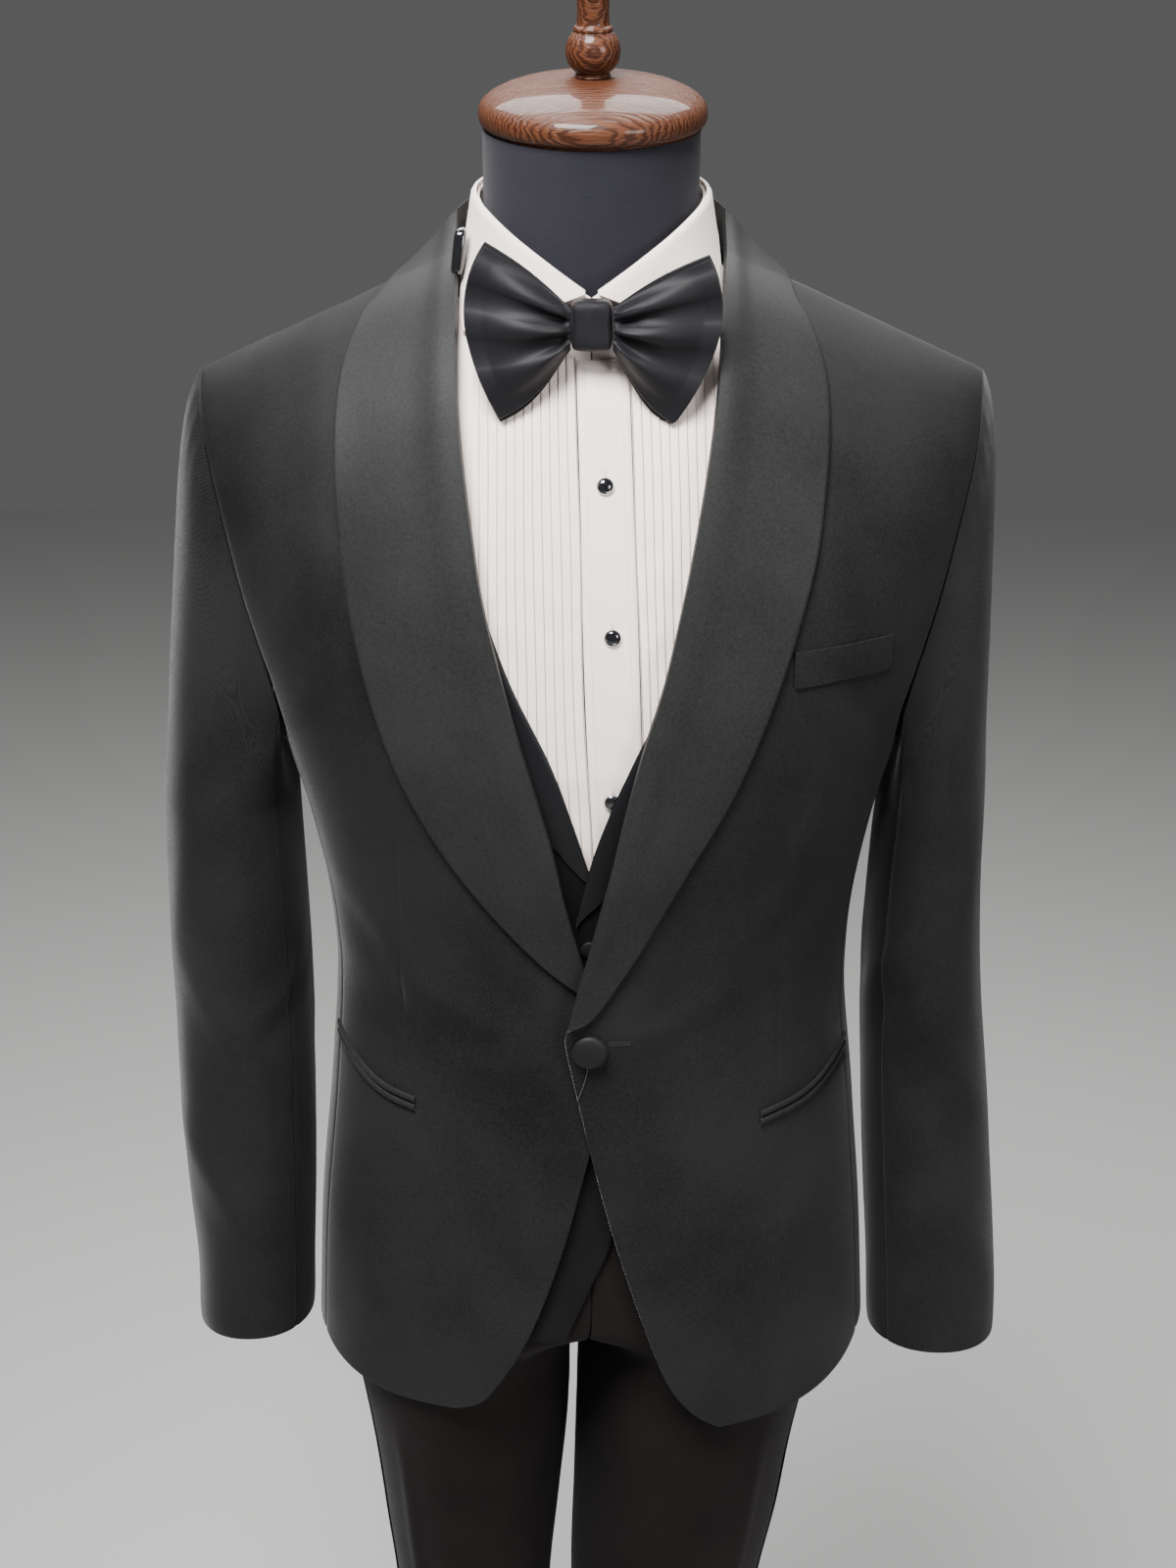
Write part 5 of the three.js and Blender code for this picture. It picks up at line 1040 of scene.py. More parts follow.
def soft_folds(rows, across, along):
    """Listed soft ridges and troughs: each has its middle, its slant, half length, half width, height."""
    total = np.zeros(np.broadcast(across, along).shape)
    for at_across, at_along, slant, length, width, height in rows:
        turn = math.radians(slant)
        side, down = across - at_across, along - at_along
        run = side * math.sin(turn) + down * math.cos(turn)
        off = side * math.cos(turn) - down * math.sin(turn)
        off = off + 0.12 * run * run / length
        total = total + height * np.exp(-((run / length) ** 2) - (off / width) ** 2)
    return total


TROUSER_FOLDS = {
    "front_left": [(60, 775, 24, 50, 12, 1.2), (100, 750, -18, 56, 14, 1.0), (70, 520, 62, 36, 13, 1.8),
                   (84, 470, -58, 30, 11, 1.2), (60, 118, 70, 42, 12, 1.4), (66, 88, -66, 30, 9, -1.2)],
    "front_right": [(-70, 770, -26, 52, 12, 1.3), (-110, 745, 14, 58, 14, 1.1), (-78, 508, -60, 38, 13, 1.7),
                    (-92, 462, 58, 32, 12, 1.3), (-78, 124, -68, 40, 12, 1.3), (-84, 92, 70, 32, 9, -1.2)],
    "back_left": [(60, 815, 60, 50, 12, 1.8), (78, 770, 66, 46, 12, 1.5), (66, 505, -70, 44, 13, -1.6),
                  (58, 545, 72, 40, 12, 1.5), (62, 130, 68, 40, 12, 1.4)],
    "back_right": [(-66, 820, -62, 52, 12, 1.8), (-84, 768, -66, 44, 12, 1.4), (-80, 500, 70, 42, 13, -1.5),
                   (-72, 548, -70, 42, 12, 1.6), (-80, 128, -70, 38, 12, 1.4)],
}


def eased(count):
    """Shares from 0 to 1, closer together at both ends, for a seam or a folded edge."""
    inner = np.linspace(0.05, 0.95, count)
    return np.concatenate([[0, 0.005, 0.013, 0.026], inner, [0.974, 0.987, 0.995, 1]])


leg_z = np.concatenate([[40, 42, 45, 50], np.linspace(60, 840, 98), np.linspace(846, 926, 24),
                        np.linspace(934, 1090, 20), [1097, 1101.5]])[:, None]
for side_name, side_sign in SIDES:
    for part, face in (("front", 1), ("back", -1)):
        reach = inside_turn(side_name, side_sign, leg_z)
        share = eased(50)[None, :]
        turn = face * mix(0.15, reach, share)
        place = leg_point(side_name, side_sign, turn, leg_z + 0 * turn)
        fold = soft_folds(TROUSER_FOLDS[f"{part}_{side_name}"], place[..., 0], place[..., 2])
        crease_turn = face * (57 if part == "front" else 90)
        pressed = 3.2 * np.exp(-np.abs((turn - crease_turn) / 4.2) ** 1.5) * smooth((840 - leg_z) / 90)
        hem_roll = -0.5 * np.exp(-((leg_z - 40) / 3) ** 2)
        seam_dip = -0.5 * np.exp(-((share - 1) / 0.012) ** 2)
        lift = fold + pressed + hem_roll + seam_dip
        leg = wall(f"leg_{part}_{side_name}", leg_grid(side_name, side_sign, turn, leg_z, lift),
                   leg_grid(side_name, side_sign, turn, leg_z, lift - TROUSER_WALL))
        finish_piece(leg, trouser_wool, "trouser_wool", f"trouser_{part}_{side_name}")
    stripe_z = leg_z[leg_z[:, 0] < STRIPE_TOP]
    stripe_turn = np.linspace(-14, 14, 17)[None, :]
    place = leg_point(side_name, side_sign, stripe_turn, stripe_z + 0 * stripe_turn)
    fold = np.where(stripe_turn > 0, soft_folds(TROUSER_FOLDS[f"front_{side_name}"], place[..., 0], place[..., 2]),
                    soft_folds(TROUSER_FOLDS[f"back_{side_name}"], place[..., 0], place[..., 2]))
    stripe = wall(f"side_stripe_{side_name}",
                  leg_grid(side_name, side_sign, stripe_turn, stripe_z, fold + 1.6),
                  leg_grid(side_name, side_sign, stripe_turn, stripe_z, fold + 0.6))
    finish_piece(stripe, stripe_satin, "stripe_satin", f"trouser_stripe_{side_name}")

WAISTBAND = (-9.2, -10.7)
band_z = np.linspace(1103.5, 1130, 12)[:, None]
band_theta = (np.arange(180) * 2 - 180)[None, :]
waistband = wall("waistband", skin(band_theta, band_z, WAISTBAND[0]), skin(band_theta, band_z, WAISTBAND[1]),
                 tube=True)
finish_piece(waistband, trouser_wool, "trouser_wool", "trouser_waistband")

# Waistcoat: two fronts with a shawl facing of satin each, the wearer's left lapped over the right and
# closed with three covered buttons, and a plain back.
waistcoat_cloth = woven("waistcoat_cloth", (0.002, 0.002, 0.0022), (0.0058, 0.0058, 0.0062), 0.7, 0.5, 0.06,
                        sheen=0.05, sheen_roughness=0.35, specular=0.1)
waistcoat_satin = woven("waistcoat_satin", (0.003, 0.003, 0.0036), (0.0075, 0.0075, 0.0088), 0.42, 0.28, 0.02,
                        sheen=0.03, specular=0.22)
WAISTCOAT = (-5.2, -6.3)
WAISTCOAT_FACING = (-3.7, -4.8)
WAISTCOAT_FRONT = {
    "left": table(
        "x z faceX faceZ seam",
        (40, 903, 56, 905, 985), (24, 955, 42, 956, 1012), (10, 1005, 30, 1006, 1040),
        (-5, 1055, 20, 1056, 1070), (-10, 1090, 17, 1090, 1098), (-10, 1126, 17, 1126, 1126),
        (-10, 1160, 17, 1159, 1156), (-9, 1191, 8, 1211, 1190), (-1, 1230, 22, 1229, 1215),
        (9.5, 1262, 35, 1252, 1240), (24.5, 1298, 53, 1284, 1262), (47, 1345, 78, 1332, 1285),
        (64.5, 1395, 96, 1388, 1325), (77, 1445, 107, 1440, 1372), (84, 1490, 112, 1483, 1415),
        (88, 1525, 113, 1515, 1448), (90, 1550, 113, 1540, 1476), (90, 1561.6, 113, 1551.4, LINING_TOP)),
    "right": table(
        "x z faceX faceZ seam",
        (18, 903, 36, 905, 985), (0, 945, 24, 948, 1012), (-14, 985, 14, 990, 1040), (-9, 1055, 18, 1056, 1070),
        (-7, 1090, 20, 1090, 1098), (-7, 1126, 20, 1126, 1126), (-7, 1160, 20, 1159, 1156),
        (-7, 1200, 16, 1201, 1190), (-1.5, 1217, 17, 1237, 1215), (12, 1262, 35, 1252, 1240),
        (24.5, 1298, 53, 1284, 1262), (47, 1345, 78, 1332, 1285), (64.5, 1395, 96, 1388, 1325),
        (77, 1445, 107, 1440, 1372), (84, 1490, 112, 1483, 1415), (88, 1525, 113, 1515, 1448),
        (90, 1550, 113, 1540, 1476), (90, 1561.6, 113, 1551.4, LINING_TOP)),
}
FACING_FROM = {"left": 7, "right": 8}
WAISTCOAT_ARMHOLE = table("level theta", (1262, 90), (1268, 78), (1285, 66), (1320, 57), (1370, 51),
                          (1420, 48), (1500, 46))
UNDERLAP = {"right": -1.3, "left": 0.2}


def waistcoat_armhole(level):
    return np.where(level <= 1262, 90.0, read(WAISTCOAT_ARMHOLE, "level", "theta", level))


def waistcoat_lap(name, theta, level):
    x = np.abs(trunk(theta, level)[..., 0])
    opened = 1 - smooth((level - 1225) / 60)
    return UNDERLAP[name] * (1 - smooth((x - 34) / 40)) * opened


def between(first, second, share):
    return [mix(a[:, None], b[:, None], share) for a, b in zip(first, second)]


for side_name, side_sign in SIDES:
    rows = WAISTCOAT_FRONT[side_name]
    count = len(rows["x"])
    fine = finer(rows, (count - 1) * 7 + 1)
    edge, fold = on_front(fine["x"], fine["z"]), on_front(fine["faceX"], fine["faceZ"])
    seam = (waistcoat_armhole(fine["seam"]) - 0.1, fine["seam"])
    face_theta, face_level = between(edge, fold, np.linspace(0, 1, 12)[None, :])
    rest_theta, rest_level = between(fold, seam, np.linspace(0, 1, 44)[None, 1:])
    theta = np.concatenate([face_theta, rest_theta], 1) * side_sign
    level = np.concatenate([face_level, rest_level], 1)
    lap = waistcoat_lap(side_name, theta, level)
    vest = wall(f"vest_front_{side_name}", skin(theta, level, WAISTCOAT[0] + lap),
                skin(theta, level, WAISTCOAT[1] + lap))
    finish_piece(vest, waistcoat_cloth, "waistcoat_cloth", f"waistcoat_front_{side_name}")
    start = FACING_FROM[side_name] * 7
    theta, level = face_theta[start:] * side_sign, face_level[start:]
    lap = waistcoat_lap(side_name, theta, level)
    facing = wall(f"vest_facing_{side_name}", skin(theta, level, WAISTCOAT_FACING[0] + lap),
                  skin(theta, level, WAISTCOAT_FACING[1] + lap))
    finish_piece(facing, waistcoat_satin, "waistcoat_satin", f"waistcoat_facing_{side_name}")

theta, level = whole_back(np.linspace(985, 1262, 30), np.linspace(0.03, 1, 30), np.linspace(0, 1, 34), 90.1,
                          163.8, 78, LINING_TOP, lambda at: 180 - float(waistcoat_armhole(at)) + 0.1, 1262, 1000)
vest_back = wall("vest_back", skin(theta, level, WAISTCOAT[0]), skin(theta, level, WAISTCOAT[1]))
finish_piece(vest_back, waistcoat_cloth, "waistcoat_cloth", "waistcoat_back")

button_cloth = woven("button_cloth", (0.0035, 0.0035, 0.0038), (0.0095, 0.0095, 0.0099), 0.55, 0.3, 0.03,
                     sheen=0.03, specular=0.18)


def covered_button(name, x, z, radius, height, distance, replaced):
    profile = [(0, 0), (radius * 0.86, 0), (radius * 0.95, height * 0.12), (radius, height * 0.34),
               (radius * 0.97, height * 0.52), (radius * 0.86, height * 0.72), (radius * 0.64, height * 0.88),
               (radius * 0.34, height * 0.97), (0, height)]
    piece = placed_on_front(name, rounded_profile(profile, 3), x, z, distance, 64)
    spots = np.array([v.co for v in piece.data.vertices])
    layer = piece.data.uv_layers.new(name="cloth")
    for loop in piece.data.loops:
        co = spots[loop.vertex_index]
        layer.data[loop.index].uv = (co[0], co[2])
    finish_piece(piece, button_cloth, "button_cloth", replaced)
    return piece


for number, z in enumerate((1176, 1132, 1088), 1):
    covered_button(f"vest_button_{number}", -1, z, 5.6, 1.8, WAISTCOAT[0] + UNDERLAP["left"] + 0.7,
                   f"waistcoat_button_{number}")

# Jacket body: fine black wool, two fronts with a long dart each, side panels and two backs with a centre seam.
# The seams sink a little and the cloth lies in soft, uneven folds towards the button and under the arms.
jacket_wool = woven("jacket_wool", (0.0022, 0.0021, 0.0023), (0.0138, 0.0135, 0.0143), 0.66, 0.6, 0.1, sheen=0.13,
                    sheen_roughness=0.3, specular=0.12, melange=0.6)
JACKET = (0, -2)
SEAM_GAP = -0.35
SHOULDER_SEAM = 1499.75
NECK_POINT_Z = float(ridge_height(np.array(80.0))) - 0.003
SIDE_SEAM = 72
ARMHOLE = table("level theta", (1285, 72), (1292, 68), (1300, 66.2), (1327, 64.7), (1383, 64.2), (1500, 63.8))
JACKET_FRONT = {
    "left": table(
        "x z seam",
        (83, 841, 863), (66, 853, 874), (51, 873, 890), (41, 897, 910), (27, 938, 945), (13, 986, 990),
        (2, 1031, 1031), (-8, 1077, 1075), (-15, 1113, 1110), (-14, 1128, 1126), (-4, 1152, 1150),
        (3, 1178, 1176), (10, 1208, 1205), (17, 1237, 1232), (25, 1271, 1262), (33, 1304, 1285),
        (46, 1346, 1300), (57, 1395, 1327), (64, 1431, 1355), (70, 1466, 1383), (75, 1501, 1412),
        (78, 1535, 1445), (79, 1553, 1466), (80, 1563.2, 1484), (80, NECK_POINT_Z, SHOULDER_SEAM)),
    "right": table(
        "x z seam",
        (87, 855, 863), (72, 861, 874), (62, 872, 890), (46, 898, 912), (32, 930, 940), (16, 979, 985),
        (3, 1031, 1031), (-9, 1077, 1075), (-15, 1113, 1110), (-13, 1128, 1126), (3, 1152, 1150),
        (13, 1178, 1176), (20, 1208, 1205), (27, 1243, 1235), (35, 1275, 1262), (45, 1312, 1285),
        (54, 1346, 1300), (65, 1390, 1327), (71, 1431, 1355), (76, 1470, 1383), (79, 1505, 1412),
        (80, 1537, 1445), (80, 1553, 1466), (80, 1563.2, 1484), (80, NECK_POINT_Z, SHOULDER_SEAM)),
}
HEM_SAG = 5
LAP = {"full": 22, "none": 62, "shawl": 8.6, "edge": 4.2, "low": 900, "button": 1085, "high": 1215,
       "open": 1300, "under": 1.4}
DART = {"x": 115, "low": 1077, "high": 1262, "depth": 0.5, "width": 1.2}
# across, height, slant from upright, half length, half width, height of the fold, all in millimetres
JACKET_FOLDS = {
    "front": [
        (-152, 1440, 4, 74, 15, 2.5), (-168, 1352, 34, 30, 8, -1.3), (-158, 1338, 30, 34, 9, 2.1),
        (-133, 1160, -34, 44, 10, -1.1), (-118, 1166, -32, 46, 12, 1.3), (-78, 1132, -64, 52, 11, 2.8),
        (-70, 1166, -52, 40, 10, -1.2), (-62, 1098, -86, 34, 8, 1.5), (-118, 1000, 12, 60, 17, 2.3),
        (-86, 925, -14, 52, 14, -1), (-140, 930, 10, 46, 12, 2.1),
        (158, 1322, -30, 32, 8, -2), (146, 1312, -32, 34, 9, 2.1), (140, 1396, -14, 40, 11, 1.5),
        (131, 1208, 26, 48, 9, -1.6), (117, 1214, 24, 50, 10, 2.3), (64, 1134, 62, 48, 10, 1.7),
        (126, 978, 38, 66, 15, 2.7), (96, 938, 34, 50, 12, -0.9), (60, 1010, 14, 58, 14, 1.3),
        (150, 1120, 18, 40, 10, 1.7)],
    "back": [
        (-118, 1400, 16, 84, 15, 2.4), (-92, 1384, 12, 74, 13, -1.1), (122, 1392, -18, 80, 15, 2.3),
        (96, 1376, -10, 72, 13, -1.1), (-66, 1150, 74, 46, 9, 1.9), (58, 1138, -76, 50, 9, 2),
        (-22, 1164, 86, 38, 8, -1.1), (-120, 1120, 56, 44, 11, 1.6), (112, 1108, -52, 46, 10, 1.8),
        (-78, 960, 10, 72, 17, 2.2), (70, 948, -8, 66, 16, 2), (-132, 930, -10, 54, 13, -1),
        (128, 965, 12, 50, 13, 1.5), (16, 1330, 4, 60, 20, -0.9)],
}


def armhole_theta(level):
    return np.where(level <= CHEST_LEVEL, float(SIDE_SEAM), read(ARMHOLE, "level", "theta", level))


def gap_angle(gap, level):
    return np.degrees(gap / read(TRUNK, "z", "half", np.minimum(level, CHEST_LEVEL)))


def lap_lift(name, theta, level):
    """Where the fronts cross, the wearer's left front stands out over the right front and its shawl."""
    x = trunk(theta, level)[..., 0]
    near = 1 - smooth((np.abs(x) - LAP["full"]) / (LAP["none"] - LAP["full"]))
    below = mix(0, LAP["edge"], smooth((level - LAP["low"]) / (LAP["button"] - LAP["low"])))
    above = (LAP["shawl"] - LAP["edge"]) * smooth((level - LAP["button"] - 5) / 40)
    opened = 1 - smooth((level - LAP["high"]) / (LAP["open"] - LAP["high"]))
    lift = near * (below + above) * opened
    return lift if name == "left" else lift * LAP["under"] / LAP["shawl"]


def jacket_folds(theta, level):
    """Height of the jacket's folds at a spot: all that lies on the cloth follows it."""
    spot = trunk(theta, level)
    turn = np.abs(theta)
    behind = smooth((np.where(turn > 180, 360 - turn, turn) - 84) / 12)
    ahead = soft_folds(JACKET_FOLDS["front"], spot[..., 0], spot[..., 2])
    after = soft_folds(JACKET_FOLDS["back"], spot[..., 0], spot[..., 2])
    slow = (0.35 * np.sin(spot[..., 0] / 19 + spot[..., 2] / 71 + 0.7)
            * np.sin(spot[..., 2] / 43 + 0.9 * np.sin(spot[..., 0] / 37)))
    return mix(ahead, after, behind) + slow


def seam_sink(theta, level, first, last, depth=0.55, width=1.9):
    """How far the cloth sinks towards its first and last columns, where they are seams."""
    grid = skin(theta, level, 0)
    run = lengths_along(grid, 1) / MM
    sink = np.zeros_like(run)
    if first:
        sink -= depth * np.exp(-((run / width) ** 2))
    if last:
        sink -= depth * np.exp(-(((run[:, -1:] - run) / width) ** 2))
    return sink


def jacket_panel(name, theta, level, lift, replaced):
    piece = wall(name, skin(theta, level, JACKET[0] + lift), skin(theta, level, JACKET[1] + lift))
    finish_piece(piece, jacket_wool, "jacket_wool", replaced)
    return piece


def front_spots(name, rows, columns):
    fine = finer(rows, (len(rows["x"]) - 1) * 5 + 1)
    edge = on_front(fine["x"], fine["z"])
    seam = (armhole_theta(fine["seam"]) - gap_angle(SEAM_GAP, fine["seam"]), fine["seam"])
    dart_theta = on_front(np.full_like(fine["x"], DART["x"]), mix(edge[1], seam[1], 0.55))[0]
    dart_at = np.clip((dart_theta - edge[0]) / (seam[0] - edge[0]), 0.1, 0.9)[:, None]
    near = 0.008
    half = eased(columns)
    half = half[half < 0.96] / half[half < 0.96][-1]
    before = half * (dart_at - near)
    after = dart_at + near + (1 - half[::-1]) * (1 - dart_at - near)
    share = np.concatenate([before, dart_at - near / 2, dart_at, dart_at + near / 2, after], 1)
    theta, level = [mix(a[:, None], b[:, None], share) for a, b in zip(edge, seam)]
    sag = HEM_SAG * np.clip(1 - np.arange(len(fine["x"])) / 5, 0, 1)[:, None]
    level = level - sag * np.sin(np.pi * share)
    off = (share - dart_at) * (seam[0] - edge[0])[:, None] * math.radians(1) * 165
    length = smooth((level - DART["low"]) / 14) * smooth((DART["high"] - level) / 22)
    dart = -DART["depth"] * np.exp(-((off / DART["width"]) ** 2)) * length
    return theta, level, dart


for side_name, side_sign in SIDES:
    theta, level, dart = front_spots(side_name, JACKET_FRONT[side_name], 30)
    theta = theta * side_sign
    lift = (lap_lift(side_name, theta, level) + jacket_folds(theta, level) + dart
            + seam_sink(theta, level, False, True))
    jacket_panel(f"coat_front_{side_name}", theta, level, lift, f"jacket_front_{side_name}")

    level_line = np.linspace(863, 1285, 90)[:, None]
    share = eased(16)[None, :]
    inset = gap_angle(SEAM_GAP, level_line)
    theta = mix(SIDE_SEAM + inset, 180 - SIDE_SEAM - inset, share) * side_sign
    scoop = 5 * np.sin(np.pi * share) * smooth((level_line - 1240) / 45)
    level = level_line - scoop
    lift = jacket_folds(theta, level) + seam_sink(theta, level, True, True)
    jacket_panel(f"coat_side_{side_name}", theta, level, lift, f"jacket_side_{side_name}")

    theta_rows, level_rows = [], []
    share = eased(40)
    for hem in np.linspace(863, 1285, 84):
        drop = (1 - smooth((hem - 863) / 250)) * (863 - 853) * share
        theta_rows.append(mix(180 - SIDE_SEAM - 0.15, 180.15, share))
        level_rows.append(hem - drop)
    for climb in np.linspace(0.012, 1, 66):
        up = mix(CHEST_LEVEL, SHOULDER_SEAM, climb)
        arm = 180 - float(armhole_theta(np.array(up))) + float(gap_angle(SEAM_GAP, np.array(up)))
        turn = mix(arm, 180.15, share)
        into = np.clip((turn - 165.5) / (180 - 165.5), 0, 1)
        top = SHOULDER_SEAM - 74 * np.sin(into * np.pi / 2)
        theta_rows.append(turn)
        level_rows.append(mix(CHEST_LEVEL, top, climb))
    theta, level = np.array(theta_rows) * side_sign, np.array(level_rows)
    lift = jacket_folds(theta, level) + seam_sink(theta, level, True, True)
    jacket_panel(f"coat_back_{side_name}", theta, level, lift, f"jacket_back_{side_name}")

# Sleeves: a top and an under sleeve each, set into the armhole with a little fullness over the shoulder, hung
# straight with a slight bend at the elbow and plain turned-up hems.
ARMHOLE_RING = table(
    "part theta level", (0, 63.8, 1500), (0.06, 63.9, 1455), (0.14, 64.1, 1412), (0.22, 64.3, 1372),
    (0.3, 64.8, 1333), (0.37, 66.4, 1300), (0.43, 72, 1285.5), (0.5, 90, 1280.3))
SLEEVE = {
    "left": table(
        "z inner outer front back",
        (852, 190, 276.5, -65, 22), (900, 187.8, 274, -63, 26), (950, 184.5, 270, -61, 31),
        (1025, 180, 263, -58, 40), (1098, 177.5, 255, -57, 50), (1168, 179, 250, -58, 56),
        (1235, 183.5, 247, -61, 58)),
    "right": table(
        "z inner outer front back",
        (862, 190, 268, -64, 26), (905, 188.5, 266.5, -63, 29), (950, 186.5, 268.5, -61, 33),
        (1025, 184, 271.5, -59, 41), (1098, 183, 271.5, -58, 50), (1168, 184, 271, -60, 57),
        (1235, 186, 269, -62, 60)),
}
HEAD_BULGE = 10.5
SLEEVE_EXPONENT = 2.15
BOTTOM_GAP = 1.2
SLEEVE_GAP = 1.1
UNDERARM_OUT = 2.7
SLEEVE_WALL = 2
SLEEVE_SEAM = 0.0007
# place round the sleeve in millimetres from its outer side, height, slant, half length, half width, height
SLEEVE_FOLDS = {
    "right": [(72, 1068, -20, 58, 11, 3), (92, 1040, -26, 40, 9, -1.6), (40, 1180, 14, 60, 13, 2.4),
              (66, 955, -30, 62, 13, 3), (30, 1010, 10, 70, 15, 1.8), (110, 1120, 40, 34, 9, 2.4),
              (104, 1096, 44, 30, 8, -1.3), (60, 1290, 26, 44, 11, 1), (88, 1262, 34, 36, 10, 0.7),
              (-60, 1110, 52, 46, 12, 2.9), (-84, 1080, 48, 40, 11, -1.4), (-60, 960, -18, 60, 15, 2.2),
              (-70, 1260, -30, 50, 12, 2.2)],
    "left": [(66, 1086, 22, 52, 11, 2.7), (88, 1058, 28, 38, 9, -1.4), (36, 1200, -12, 64, 14, 2.2),
             (58, 968, 18, 74, 14, 2.4), (106, 1126, -42, 34, 9, 2.2), (100, 1100, -40, 30, 8, -1.2),
             (62, 1284, -24, 46, 11, 1), (90, 1256, -34, 36, 10, 0.7), (-60, 1104, -54, 46, 12, 2.9),
             (-84, 1072, -46, 40, 11, -1.4), (-62, 950, 16, 60, 15, 2.1), (-70, 1254, 30, 50, 12, 2.2)],
}


def armhole_spot(part):
    round_ = part - np.floor(part)
    behind = round_ > 0.5
    near = np.where(behind, 1 - round_, round_)
    out = np.minimum(read(ARMHOLE_RING, "part", "theta", near) + gap_angle(SLEEVE_GAP, CHEST_LEVEL), 90)
    level = read(ARMHOLE_RING, "part", "level", near) + BOTTOM_GAP * smooth((near - 0.36) / 0.08)
    return np.where(behind, 180 - out, out), level


def sleeve_ring(rows, turn, z):
    inner, outer, front, back = (read(rows, "z", name, z) for name in ("inner", "outer", "front", "back"))
    power = 2 / SLEEVE_EXPONENT
    x = (inner + outer) / 2 + (outer - inner) / 2 * signed_power(np.cos(turn), power)
    y = (front + back) / 2 - (back - front) / 2 * signed_power(np.sin(turn), power)
    return np.stack(np.broadcast_arrays(x, y, z), -1)


def sleeve_point(name, part, station):
    """part goes round from the outer side by the front; station 0 is the armhole, 1 the biceps, 2 the hem."""
    rows = SLEEVE[name]
    part, station = np.broadcast_arrays(part, station)
    turn = part * 2 * np.pi
    top, low_z = rows["z"][-1], rows["z"][0]
    hanging = sleeve_ring(rows, turn, top - np.clip(station - 1, 0, 1) * (top - low_z))
    theta, level = armhole_spot(part)
    round_ = part - np.floor(part)
    under = smooth((np.minimum(round_, 1 - round_) - 0.3) / 0.12)
    start = skin(theta, level, UNDERARM_OUT * under)
    end = sleeve_ring(rows, turn, np.full_like(turn, top))
    share = np.clip(station, 0, 1)
    bulge = HEAD_BULGE * (0.5 + 0.5 * np.cos(turn)) ** 1.5
    quick = 1 - (1 - share) ** 12
    x = start[..., 0] + bulge * quick + (end[..., 0] - start[..., 0] - bulge) * share**0.95
    head = np.stack([x, mix(start[..., 1], end[..., 1], share), mix(start[..., 2], end[..., 2], share)], -1)
    return np.where((station >= 1)[..., None], hanging, head)


def sleeve_face(name, sign, part, station, lift):
    part, station = np.broadcast_arrays(part, station)
    here = sleeve_point(name, part, station)
    round_ = sleeve_point(name, part + 0.004, station) - sleeve_point(name, part - 0.004, station)
    down = (sleeve_point(name, part, np.minimum(station + 0.01, 2))
            - sleeve_point(name, part, np.maximum(station - 0.01, 0)))
    normal = np.cross(round_, down)
    normal /= np.linalg.norm(normal, axis=-1, keepdims=True)
    here = here + normal * lift[..., None]
    here[..., 0] *= sign
    return here


for side_name, side_sign in SIDES:
    for panel, first, last, columns in (("top", -0.31, 0.39, 56), ("under", 0.39, 0.69, 26)):
        share = eased(columns)[None, :]
        part = mix(first + SLEEVE_SEAM, last - SLEEVE_SEAM, share)
        station = np.concatenate([[0, 0.006, 0.015, 0.03, 0.05, 0.075], np.linspace(0.1, 1, 34),
                                  np.linspace(1.012, 1.985, 74), [1.992, 1.997, 2]])[:, None]
        bare = sleeve_point(side_name, part, station)
        turned_part = np.where(part > 0.5, part - 1, part)
        around = turned_part * 270
        fold = soft_folds(SLEEVE_FOLDS[side_name], around, bare[..., 2]) * smooth(station / 0.3)
        run = lengths_along(bare, 1) / MM
        sink = -0.5 * (np.exp(-((run / 1.8) ** 2)) + np.exp(-(((run[:, -1:] - run) / 1.8) ** 2)))
        sink = sink * smooth(station / 0.1)
        fullness = (0.35 * np.sin(part * 2 * np.pi * 26) * np.exp(-((station - 0.05) / 0.05) ** 2)
                    * (0.5 + 0.5 * np.cos(part * 2 * np.pi)))
        hem = -0.5 * np.exp(-(((2 - station) * 190 / 2.5) ** 2))
        slow = 0.3 * np.sin(around / 16 + bare[..., 2] / 60) * np.sin(bare[..., 2] / 38 + 1.1) * smooth(station)
        lift = fold + sink + fullness + hem + slow
        sleeve = wall(f"sleeve_{panel}_{side_name}",
                      sleeve_face(side_name, side_sign, part, station, lift),
                      sleeve_face(side_name, side_sign, part, station, lift - SLEEVE_WALL))
        finish_piece(sleeve, jacket_wool, "jacket_wool", f"jacket_{panel}_sleeve_{side_name}")

